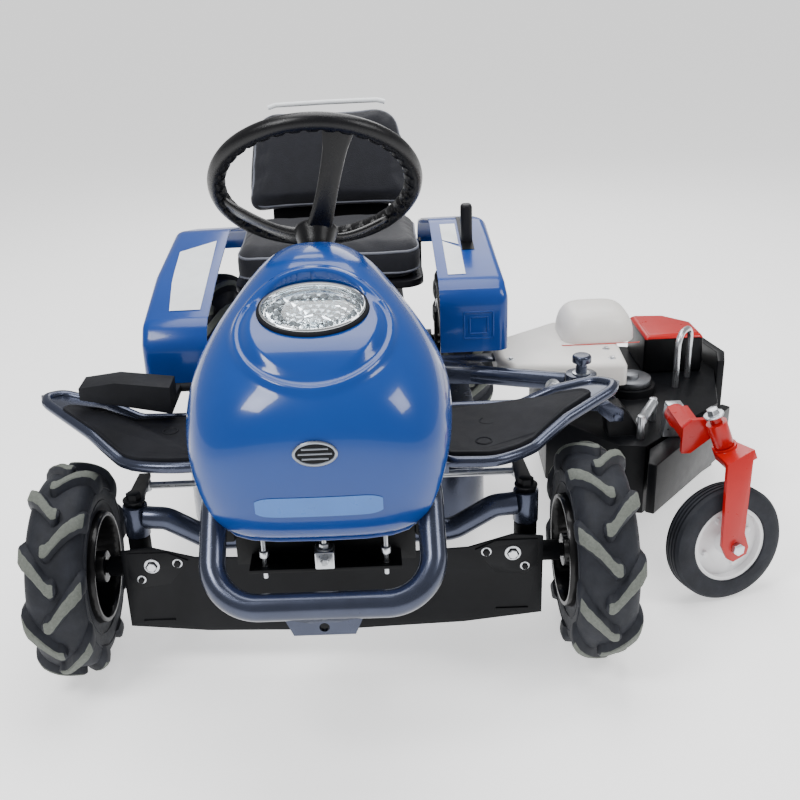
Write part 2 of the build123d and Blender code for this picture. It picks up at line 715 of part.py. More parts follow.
# rear fenders: one is long and drops to a toe board, the other starts beside the seat
fender_side = {
    "right": [(262, 452), (268, 545), (300, 582), (520, 622), (780, 652), (1100, 580), (1330, 520), (1385, 470), (1385, 440)],
    "left": [(432, 440), (438, 560), (470, 588), (780, 652), (1100, 580), (1330, 520), (1385, 470), (1385, 440)],
}
for side, s in (("left", 1), ("right", -1)):
    with BuildPart() as fender:
        with BuildSketch(Plane.YZ.offset(s * 238)):
            with BuildLine():
                Polyline(*fender_side[side], close=True)
            make_face()
        extrude(amount=s * 190)
        with BuildSketch(Plane.XZ.offset(-200)):
            with BuildLine():
                Polyline((s * 200, 400), (s * 428, 400), (s * 412, 500), (s * 340, 760), (s * 200, 760), close=True)
            make_face()
        extrude(amount=-1250, mode=Mode.INTERSECT)
        # plan view: the outer edge draws in towards the front
        with BuildSketch(Plane.XY.offset(400)):
            with BuildLine():
                Polyline((s * 200, 200), (s * 368, 200), (s * 386, 440), (s * 416, 800), (s * 428, 1000), (s * 428, 1450), (s * 200, 1450), close=True)
            make_face()
        extrude(amount=400, mode=Mode.INTERSECT)
        offset(amount=-4, openings=fender.faces().sort_by(Axis.Z)[0])
        if side == "left":
            # slot for the lift lever
            with BuildSketch(Plane.XY.offset(560)):
                with Locations((317, 715)):
                    RectangleRounded(26, 180, 6)
            extrude(amount=120, mode=Mode.SUBTRACT)
    pieces[f"fender_{side}"] = fender


with BuildPart() as drive_pedal:
    with BuildSketch(Plane.XZ.offset(-192)):
        with BuildLine():
            Polyline((-296, 454), (-470, 490), (-470, 514), (-400, 522), (-296, 508), close=True)
        make_face()
    extrude(amount=62)
    with BuildSketch(Plane.XY.offset(454)):
        with Locations((-303, 218)):
            Rectangle(14, 62)
    extrude(amount=16)
    with BuildSketch(Plane.YZ.offset(-310)):
        with Locations((245, 462)):
            Circle(9)
    extrude(amount=44)
pieces["drive_pedal"] = drive_pedal


# ================================================================ seat

with BuildPart() as seat_pan:
    with BuildSketch(Plane.XY.offset(548)):
        with Locations((0, 738)):
            RectangleRounded(430, 340, 50)
    extrude(amount=16)
    with BuildSketch(Plane.XY.offset(564)):
        with Locations((0, 936)):
            Rectangle(300, 14)
    with BuildSketch(Plane.XY.offset(548)):
        with Locations((0, 940)):
            Rectangle(300, 76)
    extrude(amount=16)
    with BuildSketch(Plane.YZ.offset(-150)):
        with BuildLine():
            Polyline((961.5, 550), (979.5, 550), (1080, 860), (1062, 866), close=True)
        make_face()
    extrude(amount=300)
pieces["seat_pan"] = seat_pan

with BuildPart() as seat_cushion:
    with BuildSketch(Plane.XY.offset(564.3)):
        with Locations((0, 735)):
            RectangleRounded(2 * SEAT_HALF, 350, 60)
    extrude(amount=80)
    fillet(seat_cushion.faces().sort_by(Axis.Z)[-1].edges(), 30)
pieces["seat_cushion"] = seat_cushion

back_plane = Plane((0, 930, 598), x_dir=(1, 0, 0), z_dir=(0, -cos(radians(18)), sin(radians(18))))
with BuildPart() as seat_backrest:
    with BuildSketch(back_plane):
        with BuildLine():
            Polyline((-218, 45), (218, 45), (192, 310), (-192, 310), close=True)
        make_face()
        fillet(vertices().group_by(Axis.Y)[-1], 70)
    extrude(amount=38, both=True)
    fillet(seat_backrest.faces().sort_by(Axis.Y)[0].edges(), 26)
    with BuildSketch(Plane.YZ.offset(-152)):
        with BuildLine():
            Polyline((943.7, 495), (963, 495), (1081, 860), (1088, 880), (1068, 880), (1061.7, 866.2), close=True)
        make_face()
    extrude(amount=304, mode=Mode.SUBTRACT)
pieces["seat_backrest"] = seat_backrest

# ================================================================ engine and tail
with BuildPart() as engine_block:
    with BuildSketch(Plane.XY.offset(RAIL_Z1 + 0.2)):
        with Locations((0, 1250)):
            RectangleRounded(250, 230, 25)
    extrude(amount=130)
    with BuildSketch(Plane.XY.offset(RAIL_Z1 + 130)):
        with Locations((0, 1250)):
            Circle(105)
    extrude(amount=50)

with BuildPart() as muffler:
    with BuildSketch(Plane.YZ.offset(-150)):
        with Locations((1478, 560)):
            Circle(48)
    extrude(amount=300)
    fillet(muffler.edges().filter_by(GeomType.CIRCLE), 12)
    with BuildSketch(Plane.XZ.offset(-1478)):
        with Locations((110, 560)):
            Circle(14)
    extrude(amount=-80)

with BuildPart() as cylinder_heads:
    add(engine_block.part)
    add(muffler.part)
    for s in (1, -1):
        for i in range(6):
            with BuildSketch(Plane.YZ.offset(s * (127 + i * 14))):
                with Locations((1330, 480)):
                    RectangleRounded(96, 110, 12)
            extrude(amount=s * 7)
        with BuildSketch(Plane.YZ.offset(s * 126)):
            with Locations((1330, 480)):
                Circle(38)
        extrude(amount=s * 88)
pieces["engine"] = cylinder_heads

with BuildPart() as blower_housing:
    with BuildSketch(Plane.XY.offset(RAIL_Z1 + 181)):
        with Locations((0, 1250)):
            RectangleRounded(300, 260, 60)
    extrude(amount=64)
    fillet(blower_housing.faces().sort_by(Axis.Z)[-1].edges(), 24)
    with BuildSketch(Plane.XY.offset(RAIL_Z1 + 225)):
        with Locations((0, 1250)):
            Circle(80)
    extrude(amount=40, mode=Mode.SUBTRACT)

with BuildPart() as blower_screen:
    add(blower_housing.part)
    with BuildSketch(Plane.XY.offset(RAIL_Z1 + 225.2)):
        with Locations((0, 1250)):
            Circle(79)
    extrude(amount=14)
pieces["blower_housing"] = blower_screen



# ================================================================ main cutting deck (rises and falls)
with BuildPart() as main_deck:
    with BuildSketch(Plane.XY.offset(85)):
        with Locations((0, (DECK_Y0 + DECK_Y1) / 2)):
            RectangleRounded(2 * DECK_HALF, DECK_Y1 - DECK_Y0, 120)
    extrude(amount=150)
    offset(amount=-5, openings=main_deck.faces().sort_by(Axis.Z)[0])
    with BuildSketch(Plane.XY.offset(235)):
        with Locations((0, 590)):
            Circle(60)
    extrude(amount=18)
    with BuildSketch(Plane.XY.offset(200)):
        with Locations((0, 590)):
            Circle(15 + RUN_CLEAR)
    extrude(amount=80, mode=Mode.SUBTRACT)

with BuildPart() as deck_hangers:
    add(main_deck.part)
    with BuildSketch(Plane.XY.offset(234)):
        for y in (400, 800):
            with Locations((198, y), (-198, y)):
                Circle(7)
    extrude(amount=155)
pieces["main_deck_shell"] = deck_hangers


with BuildPart() as main_blade:
    with BuildSketch(Plane.XY.offset(110)):
        with Locations((0, 590)):
            Rectangle(520, 60)
    extrude(amount=6)
    with BuildSketch(Plane.XY.offset(104)):
        with Locations((0, 590)):
            Circle(15)
    extrude(amount=170)
    with BuildSketch(Plane.XY.offset(256)):
        with Locations((0, 590)):
            Circle(62)
    extrude(amount=16)
pieces["main_blade"] = main_blade

# ================================================================ levers
with BuildPart() as lift_lever:
    with BuildSketch(Plane.YZ.offset(313)):
        with BuildLine():
            Polyline((650, 440), (672, 440), (664, 580), (668, 626), (652, 626), (646, 580), close=True)
        make_face()
    extrude(amount=8)
    with BuildSketch(Plane.YZ.offset(262)):
        with Locations((661, 450)):
            Circle(8)
    extrude(amount=52)

with BuildPart() as lift_lever_grip:
    add(lift_lever.part)
    with BuildSketch(Plane.XY.offset(624)):
        with Locations((317, 660)):
            RectangleRounded(26, 30, 9)
    extrude(amount=88)
    fillet(lift_lever_grip.faces().sort_by(Axis.Z)[-1].edges(), 8)
pieces["lift_lever"] = lift_lever_grip

# ================================================================ side cutting unit
with BuildPart() as side_arm:
    with BuildSketch(Plane.XY.offset(RAIL_Z0 + 8)):
        with BuildLine():
            Polyline((180.2, 452), (180.2, 540), (330, 480), (345, 430), close=True)
        make_face()
    extrude(amount=34)
    arm_a, arm_b = Vector(310, 452, 380), Vector(500, 384, 380)
    with BuildSketch(Plane(arm_a, z_dir=(arm_b - arm_a).normalized())):
        Circle(20)
    extrude(amount=(arm_b - arm_a).length)
    with BuildSketch(Plane.XY.offset(352)):
        with Locations(SIDE_PIVOT):
            Circle(32)
    extrude(amount=52)
    with BuildSketch(Plane.XY.offset(340)):
        with Locations(SIDE_PIVOT):
            Circle(12 + RUN_CLEAR)
    extrude(amount=80, mode=Mode.SUBTRACT)
    # flat stay that holds the belt cover
    with BuildSketch(Plane.XY.offset(RAIL_Z0 + 10)):
        with BuildLine():
            Polyline((180.2, 560), (180.2, 600), (372, 600), (372, 560), close=True)
        make_face()
    extrude(amount=6)
pieces["side_arm"] = side_arm

with BuildPart() as side_carrier:
    with BuildSketch(Plane.XY.offset(330)):
        with Locations(SIDE_PIVOT):
            Circle(30)
        with BuildLine():
            Polyline((530, 342), (584, 330), (584, 410), (530, 398), close=True)
        make_face()
    extrude(amount=20)
    with BuildSketch(Plane.XY.offset(330)):
        with Locations(SIDE_PIVOT):
            Circle(12)
    extrude(amount=90)
    # two ears that carry the tilt pin
    with BuildSketch(Plane.XZ.offset(-330)):
        with BuildLine():
            Polyline((560, 345), (584, 350), (614, 330), (614, 306), (586, 306), (560, 330), close=True)
        make_face()
    extrude(amount=-12)
    with BuildSketch(Plane.XZ.offset(-398)):
        with BuildLine():
            Polyline((560, 345), (584, 350), (614, 330), (614, 306), (586, 306), (560, 330), close=True)
        make_face()
    extrude(amount=-12)
    with BuildSketch(Plane.XZ.offset(-300)):
        with Locations((SIDE_TILT_X, SIDE_TILT_Z)):
            Circle(8)
    extrude(amount=-140, mode=Mode.SUBTRACT)

with BuildPart() as side_tilt_pin:
    add(side_carrier.part)
    with BuildSketch(Plane.XZ.offset(-322)):
        with Locations((SIDE_TILT_X, SIDE_TILT_Z)):
            Circle(8)
    extrude(amount=-96)

with BuildPart() as swing_knob:
    add(side_tilt_pin.part)
    with BuildSketch(Plane.XY.offset(419)):
        with Locations(SIDE_PIVOT):
            Circle(11)
    extrude(amount=12)
    with BuildSketch(Plane.XY.offset(430)):
        with Locations(SIDE_PIVOT):
            Circle(20)
    extrude(amount=16)
    fillet(swing_knob.faces().sort_by(Axis.Z)[-1].edges(), 6)
pieces["side_carrier"] = swing_knob

side_outline = [(478, 470), (492, 820), (585, 885), (720, 890), (895, 845), (922, 700), (868, 500), (655, 290), (600, 300)]
with BuildPart() as side_deck:
    with BuildSketch(Plane.XY.offset(105)):
        with BuildLine():
            Polyline(*side_outline, close=True)
        make_face()
    extrude(amount=160)
    offset(amount=-5, openings=side_deck.faces().sort_by(Axis.Z)[0])
    with BuildSketch(Plane.XY.offset(265)):
        with Locations((690, 590)):
            Circle(58)
    extrude(amount=20)
    with BuildSketch(Plane.XY.offset(220)):
        with Locations((690, 590)):
            Circle(15 + RUN_CLEAR)
    extrude(amount=80, mode=Mode.SUBTRACT)
    # hinge lug between the ears of the carrier
    with BuildSketch(Plane.XZ.offset(-344)):
        with BuildLine():
            Polyline((588, 264), (660, 264), (640, 300), (616, 332), (586, 332), (582, 306), close=True)
        make_face()
    extrude(amount=-52)
    with BuildSketch(Plane.XZ.offset(-300)):
        with Locations((SIDE_TILT_X, SIDE_TILT_Z)):
            Circle(8 + RUN_CLEAR)
    extrude(amount=-140, mode=Mode.SUBTRACT)
pieces["side_deck_shell"] = side_deck

with BuildPart() as side_blade:
    with BuildSketch(Plane.XY.offset(128)):
        with Locations((690, 590)):
            Rectangle(56, 340)
    extrude(amount=6)
    with BuildSketch(Plane.XY.offset(122)):
        with Locations((690, 590)):
            Circle(15)
    extrude(amount=172)

with BuildPart() as side_spindle_cap:
    add(side_blade.part)
    with BuildSketch(Plane.XY.offset(286.2)):
        with Locations((690, 590)):
            Circle(48)
    extrude(amount=14)
    with BuildSketch(Plane.XY.offset(300.2)):
        with Locations((690, 590)):
            Circle(20)
    extrude(amount=9)
pieces["side_blade"] = side_spindle_cap

with BuildPart() as side_red_cover:
    with BuildSketch(Plane.XY.offset(265.3)):
        with BuildLine():
            Polyline((748, 692), (888, 692), (886, 790), (830, 850), (748, 858), close=True)
        make_face()
    extrude(amount=96)
    fillet(side_red_cover.faces().sort_by(Axis.Z)[-1].edges(), 14)
pieces["side_red_cover"] = side_red_cover

with BuildPart() as side_skirt:
    with BuildSketch(Plane.XY.offset(150)):
        with BuildLine():
            Polyline((640, 215), (655, 205), (890, 480), (876, 496), (660, 282), close=True)
        make_face()
    extrude(amount=113)

with BuildPart() as side_rubber_edge:
    add(side_skirt.part)
    with BuildSketch(Plane.XY.offset(120)):
        with BuildLine():
            Polyline((895.6, 850), (924, 702), (908, 640), (925, 640), (944, 702), (914, 860), close=True)
        make_face()
    extrude(amount=190)
pieces["side_skirt"] = side_rubber_edge

with BuildPart() as belt_cover:
    with BuildSketch(Plane.XY.offset(340)):
        with BuildLine():
            Polyline((372, 520), (400, 462), (560, 446), (648, 446), (655, 560), (655, 745), (530, 745), (372, 630), close=True)
        make_face()
    extrude(amount=52)
    with BuildSketch(Plane.XY.offset(392)):
        with BuildLine():
            Polyline((530, 570), (700, 570), (700, 742), (530, 742), close=True)
        make_face()
    extrude(amount=68, taper=10)
    offset(amount=-3, openings=belt_cover.faces().sort_by(Axis.Z)[0])
pieces["belt_cover"] = belt_cover


with BuildPart() as spring_strut:
    sa, sb = Vector(652, 330, 306), Vector(700, 420, 306)
    with BuildSketch(Plane(sa, z_dir=(sb - sa).normalized())):
        Circle(11)
    extrude(amount=(sb - sa).length)
    with BuildSketch(Plane.XY.offset(265.3)):
        with Locations((sa.X, sa.Y), (sb.X, sb.Y)):
            Circle(8)
    extrude(amount=52)

with BuildPart() as side_handle:
    with BuildLine() as handle_path:
        FilletPolyline((800, 600, 265.4), (800, 600, 395), (845, 660, 395), (845, 660, 265.4), radius=[30, 30])
    with BuildSketch(Plane(handle_path.line @ 0, z_dir=handle_path.line % 0)):
        Circle(7)
    sweep(path=handle_path.line)

# ---------------------------------------------------------------- caster wheel of the side unit
ca, sa_ = cos(radians(CASTER_LEAN)), sin(radians(CASTER_LEAN))
lean = Vector(-sa_, 0, ca)                      # swivel axis, upwards
wx = 0.29
w = Vector(wx, 0, wx * sa_ / ca)
w = Vector(w.X, -sqrt(1 - w.X ** 2 - w.Z ** 2), w.Z)      # wheel axle, square to the swivel axis
t = w.cross(lean).normalized()
top = Vector(*CASTER_TOP)
cw = Vector(*CASTER_WHEEL_C)
rel = cw - top
if rel.dot(t) < 0:
    t = t * -1
swivel_plane = Plane(top, x_dir=t, z_dir=lean)
trail, drop, shift = rel.dot(t), rel.dot(lean), rel.dot(w)
wheel_c_plane = Plane(cw, x_dir=t, z_dir=w)

with BuildPart() as caster_arm:
    with BuildSketch(swivel_plane.offset(-58)):
        Circle(20)
        Circle(11 + RUN_CLEAR, mode=Mode.SUBTRACT)
    extrude(amount=52)
    with BuildSketch(Plane.XZ.offset(-200)):
        with BuildLine():
            Polyline((742, 362), (766, 330), (718, 290), (700, 290), (700, 345), (716, 362), close=True)
        make_face()
    extrude(amount=-12)
    with BuildSketch(Plane.XY.offset(318)):
        with BuildLine():
            Polyline((700, 202), (742, 202), (742, 318), (700, 318), close=True)
        make_face()
    extrude(amount=24)
    with BuildSketch(Plane.XZ.offset(-300)):
        with Locations((721, 320)):
            Circle(22)
    extrude(amount=-30)
    with BuildSketch(Plane.XZ.offset(-290)):
        with Locations((721, 320)):
            Circle(10 + RUN_CLEAR)
    extrude(amount=-60, mode=Mode.SUBTRACT)
    with BuildSketch(swivel_plane.offset(-90)):
        Circle(11 + RUN_CLEAR)
    extrude(amount=120, mode=Mode.SUBTRACT)
pieces["caster_arm"] = caster_arm

with BuildPart() as caster_mount:
    with BuildSketch(Plane.XZ.offset(-296)):
        with Locations((721, 320)):
            Circle(10)
    extrude(amount=-60)
    with BuildSketch(Plane.XZ.offset(-331)):
        with BuildLine():
            Polyline((700, 265.3), (745, 265.3), (738, 338), (706, 338), close=True)
        make_face()
    extrude(amount=-24)

with BuildPart() as side_deck_fittings:
    add(spring_strut.part)
    add(side_handle.part)
    add(caster_mount.part)
pieces["side_deck_fittings"] = side_deck_fittings

with BuildPart() as caster_fork:
    with BuildSketch(swivel_plane.offset(-82)):
        Circle(11)
    extrude(amount=92)
    with BuildSketch(swivel_plane.offset(-84)):
        Circle(24)
    extrude(amount=24)
    # crown reaches out over the tyre, then one leg goes down to the axle
    leg = swivel_plane.offset(-84)
    with BuildSketch(leg):
        with BuildLine():
            yv = swivel_plane.y_dir.dot(w)
            Polyline((-24, 0), (24, 0), (36, yv * (shift + 44)), (-26, yv * (shift + 44)), close=True)
        make_face()
    extrude(amount=20)
    leg_plane = Plane(cw + w * 36, x_dir=t, z_dir=w)
    hy = leg_plane.y_dir.dot(lean)
    up = -drop - 64
    with BuildSketch(leg_plane):
        with BuildLine():
            Polyline((-16, -hy * 24), (16, -hy * 24), (25, -hy * 12), (27, hy * 20), (-trail + 36, hy * up), (-trail - 26, hy * up), (-27, hy * 20), (-25, -hy * 12), close=True)
        make_face()
    extrude(amount=8)
    with BuildSketch(leg_plane):
        Circle(10)
    extrude(amount=-72)
pieces["caster_fork"] = caster_fork

with BuildPart() as caster_nut:
    with BuildSketch(swivel_plane.offset(10.2)):
        Circle(20)
    extrude(amount=3)
    with BuildSketch(swivel_plane.offset(13.2)):
        RegularPolygon(12, 6)
    extrude(amount=12)

with BuildPart() as caster_axle_bolt:
    add(caster_nut.part)
    with BuildSketch(Plane(cw + w * 44.2, x_dir=t, z_dir=w)):
        RegularPolygon(13, 6)
    extrude(amount=10)
pieces["caster_fasteners"] = caster_axle_bolt

with BuildPart() as caster_tyre:
    with BuildSketch(Plane(cw, x_dir=t, z_dir=t.cross(w))):
        with BuildLine():
            Polyline((80, -22), (80, 22), (97, 27), (114, 22), (CASTER_R, 10), (CASTER_R, -10), (114, -22), (97, -27), close=True)
        make_face()
    revolve(axis=Axis(cw, w))
pieces["caster_tyre"] = caster_tyre

with BuildPart() as caster_rim:
    with BuildSketch(wheel_c_plane.offset(-22)):
        Circle(79.9)
        Circle(71, mode=Mode.SUBTRACT)
    extrude(amount=44)
    with BuildSketch(wheel_c_plane.offset(-3)):
        Circle(72)
    extrude(amount=10)
    with BuildSketch(wheel_c_plane.offset(-30)):
        Circle(24)
    extrude(amount=60)
    with BuildSketch(wheel_c_plane.offset(7)):
        with PolarLocations(50, 4):
            RegularPolygon(7, 6)
    extrude(amount=7)
    with BuildSketch(wheel_c_plane.offset(-40)):
        Circle(10 + RUN_CLEAR)
    extrude(amount=80, mode=Mode.SUBTRACT)
pieces["caster_rim"] = caster_rim

# ================================================================ export about the ground centre
boxes = [p.part.bounding_box() for p in pieces.values()]
cx0 = round((min(b.min.X for b in boxes) + max(b.max.X for b in boxes)) / 2, 3)
cy0 = round((min(b.min.Y for b in boxes) + max(b.max.Y for b in boxes)) / 2, 3)
cz0 = round(min(b.min.Z for b in boxes), 3)
print("origin of the row in the drawing frame:", cx0, cy0, cz0)
for node, piece in pieces.items():
    piece.part = piece.part.moved(Location((-cx0, -cy0, -cz0)))
    piece.part.label = node
    export_step(piece.part, f"parts/{node}.step")
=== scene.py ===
import json
import math

import bmesh
import bpy
import numpy as np
from mathutils import Matrix, Vector
from mathutils.bvhtree import BVHTree
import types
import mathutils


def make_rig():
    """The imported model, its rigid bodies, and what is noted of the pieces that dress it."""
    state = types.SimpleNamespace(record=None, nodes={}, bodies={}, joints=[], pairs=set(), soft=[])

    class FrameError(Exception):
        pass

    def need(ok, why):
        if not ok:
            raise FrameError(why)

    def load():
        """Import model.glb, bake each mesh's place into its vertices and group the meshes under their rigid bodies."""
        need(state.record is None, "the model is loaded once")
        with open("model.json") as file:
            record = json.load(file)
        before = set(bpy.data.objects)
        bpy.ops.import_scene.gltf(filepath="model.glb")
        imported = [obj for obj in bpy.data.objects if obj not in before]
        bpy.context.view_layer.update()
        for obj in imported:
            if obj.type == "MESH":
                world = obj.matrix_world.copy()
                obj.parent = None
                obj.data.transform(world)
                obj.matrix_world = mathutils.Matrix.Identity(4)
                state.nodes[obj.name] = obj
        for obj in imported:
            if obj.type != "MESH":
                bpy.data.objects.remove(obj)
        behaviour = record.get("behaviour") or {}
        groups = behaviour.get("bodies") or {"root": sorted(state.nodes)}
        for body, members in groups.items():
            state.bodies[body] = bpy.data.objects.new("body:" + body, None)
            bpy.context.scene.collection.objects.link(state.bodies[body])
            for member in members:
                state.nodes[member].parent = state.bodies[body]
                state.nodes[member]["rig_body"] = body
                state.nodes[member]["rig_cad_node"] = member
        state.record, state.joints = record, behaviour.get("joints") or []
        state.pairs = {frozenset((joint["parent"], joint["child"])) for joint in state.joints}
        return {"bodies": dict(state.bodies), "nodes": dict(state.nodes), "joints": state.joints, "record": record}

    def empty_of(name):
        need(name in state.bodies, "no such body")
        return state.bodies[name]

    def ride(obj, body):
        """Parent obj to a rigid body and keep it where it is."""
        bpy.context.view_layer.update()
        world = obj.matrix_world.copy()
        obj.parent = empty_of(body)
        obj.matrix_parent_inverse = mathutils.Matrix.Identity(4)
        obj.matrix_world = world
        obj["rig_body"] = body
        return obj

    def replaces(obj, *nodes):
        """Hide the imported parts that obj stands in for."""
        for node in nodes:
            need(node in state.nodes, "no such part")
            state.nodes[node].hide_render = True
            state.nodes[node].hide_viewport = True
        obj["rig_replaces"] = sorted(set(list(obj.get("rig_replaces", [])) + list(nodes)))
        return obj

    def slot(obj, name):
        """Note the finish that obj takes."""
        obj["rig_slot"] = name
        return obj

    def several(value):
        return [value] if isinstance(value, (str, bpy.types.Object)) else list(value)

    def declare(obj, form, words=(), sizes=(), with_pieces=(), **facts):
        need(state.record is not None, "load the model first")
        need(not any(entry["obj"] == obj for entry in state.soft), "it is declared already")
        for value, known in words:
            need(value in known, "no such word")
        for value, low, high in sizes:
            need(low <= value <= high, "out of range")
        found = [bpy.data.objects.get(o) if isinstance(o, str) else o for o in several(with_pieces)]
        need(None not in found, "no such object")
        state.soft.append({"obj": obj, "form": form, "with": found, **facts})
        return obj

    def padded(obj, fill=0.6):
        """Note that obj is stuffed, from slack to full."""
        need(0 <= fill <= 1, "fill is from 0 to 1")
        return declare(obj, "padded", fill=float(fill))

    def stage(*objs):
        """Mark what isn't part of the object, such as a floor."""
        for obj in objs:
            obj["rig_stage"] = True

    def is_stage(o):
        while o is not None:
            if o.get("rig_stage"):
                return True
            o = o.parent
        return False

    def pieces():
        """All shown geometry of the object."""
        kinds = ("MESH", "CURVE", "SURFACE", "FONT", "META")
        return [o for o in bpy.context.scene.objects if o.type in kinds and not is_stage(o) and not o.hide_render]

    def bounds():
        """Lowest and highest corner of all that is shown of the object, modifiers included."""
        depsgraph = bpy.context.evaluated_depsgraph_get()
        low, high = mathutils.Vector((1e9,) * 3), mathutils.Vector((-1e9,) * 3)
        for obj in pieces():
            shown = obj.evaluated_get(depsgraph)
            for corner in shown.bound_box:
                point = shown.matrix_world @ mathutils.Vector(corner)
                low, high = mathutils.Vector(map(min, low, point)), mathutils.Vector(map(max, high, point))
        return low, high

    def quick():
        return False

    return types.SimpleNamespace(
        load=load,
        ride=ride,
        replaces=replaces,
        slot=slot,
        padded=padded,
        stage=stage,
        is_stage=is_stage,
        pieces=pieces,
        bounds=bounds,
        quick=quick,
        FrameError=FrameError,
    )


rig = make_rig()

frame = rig.load()
BOX0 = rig.bounds()
N = frame["nodes"]
OFF = Vector((-0.189, -0.593325, 0.0))  # drawing frame to row frame
scene = bpy.context.scene
COL = scene.collection


def srgb(h):
    h = h.lstrip("#")
    out = []
    for i in (0, 2, 4):
        c = int(h[i:i + 2], 16) / 255
        out.append(c / 12.92 if c <= 0.04045 else ((c + 0.055) / 1.055) ** 2.4)
    return tuple(out)


# ---------------------------------------------------------------- materials
def mat(name, col, rough=0.5, metal=0.0, coat=0.0, coat_rough=0.05, var=0.12, scale=18.0,
        bump=0.0, bump_scale=400.0, rvar=0.08, col2=None, spec=0.5, transmission=0.0, ior=1.45,
        sheen=0.0, kind="noise", wear=None):
    m = bpy.data.materials.new(name)
    m.use_nodes = True
    nt = m.node_tree
    nodes, links = nt.nodes, nt.links
    b = nodes["Principled BSDF"]
    c = srgb(col) if isinstance(col, str) else col
    tc = nodes.new("ShaderNodeTexCoord")
    n1 = nodes.new("ShaderNodeTexNoise")
    n1.inputs["Scale"].default_value = scale
    n1.inputs["Detail"].default_value = 6.0
    n1.inputs["Roughness"].default_value = 0.6
    links.new(tc.outputs["Object"], n1.inputs["Vector"])
    ramp = nodes.new("ShaderNodeValToRGB")
    ramp.color_ramp.elements[0].position = 0.32
    ramp.color_ramp.elements[1].position = 0.68
    lo = tuple(max(0.0, x * (1 - var)) for x in c)
    hi = tuple(min(1.0, x * (1 + var)) for x in c) if col2 is None else srgb(col2)
    ramp.color_ramp.elements[0].color = (*lo, 1)
    ramp.color_ramp.elements[1].color = (*hi, 1)
    links.new(n1.outputs["Fac"], ramp.inputs["Fac"])
    colour_out = ramp.outputs["Color"]
    if wear is not None:
        # edges rub lighter: convexity from Pointiness
        geo = nodes.new("ShaderNodeNewGeometry")
        wr = nodes.new("ShaderNodeValToRGB")
        wr.color_ramp.elements[0].position = 0.53
        wr.color_ramp.elements[1].position = 0.62
        links.new(geo.outputs["Pointiness"], wr.inputs["Fac"])
        mx = nodes.new("ShaderNodeMix")
        mx.data_type = "RGBA"
        links.new(wr.outputs["Color"], mx.inputs["Factor"])
        links.new(colour_out, mx.inputs["A"])
        mx.inputs["B"].default_value = (*srgb(wear), 1)
        colour_out = mx.outputs["Result"]
    links.new(colour_out, b.inputs["Base Color"])
    mr = nodes.new("ShaderNodeMapRange")
    mr.inputs["To Min"].default_value = max(0.02, rough - rvar)
    mr.inputs["To Max"].default_value = min(1.0, rough + rvar)
    n2 = nodes.new("ShaderNodeTexNoise")
    n2.inputs["Scale"].default_value = scale * 2.7
    n2.inputs["Detail"].default_value = 4.0
    links.new(tc.outputs["Object"], n2.inputs["Vector"])
    links.new(n2.outputs["Fac"], mr.inputs["Value"])
    links.new(mr.outputs["Result"], b.inputs["Roughness"])
    b.inputs["Metallic"].default_value = metal
    b.inputs["Coat Weight"].default_value = coat
    b.inputs["Coat Roughness"].default_value = coat_rough
    b.inputs["Specular IOR Level"].default_value = spec
    b.inputs["Transmission Weight"].default_value = transmission
    b.inputs["IOR"].default_value = ior
    if sheen:
        b.inputs["Sheen Weight"].default_value = sheen
    if bump:
        if kind == "voronoi":
            n3 = nodes.new("ShaderNodeTexVoronoi")
            n3.inputs["Scale"].default_value = bump_scale
            h = n3.outputs["Distance"]
        else:
            n3 = nodes.new("ShaderNodeTexNoise")
            n3.inputs["Scale"].default_value = bump_scale
            n3.inputs["Detail"].default_value = 3.0
            h = n3.outputs["Fac"]
        links.new(tc.outputs["Object"], n3.inputs["Vector"])
        bp = nodes.new("ShaderNodeBump")
        bp.inputs["Strength"].default_value = bump
        bp.inputs["Distance"].default_value = 0.001
        links.new(h, bp.inputs["Height"])
        links.new(bp.outputs["Normal"], b.inputs["Normal"])
    return m


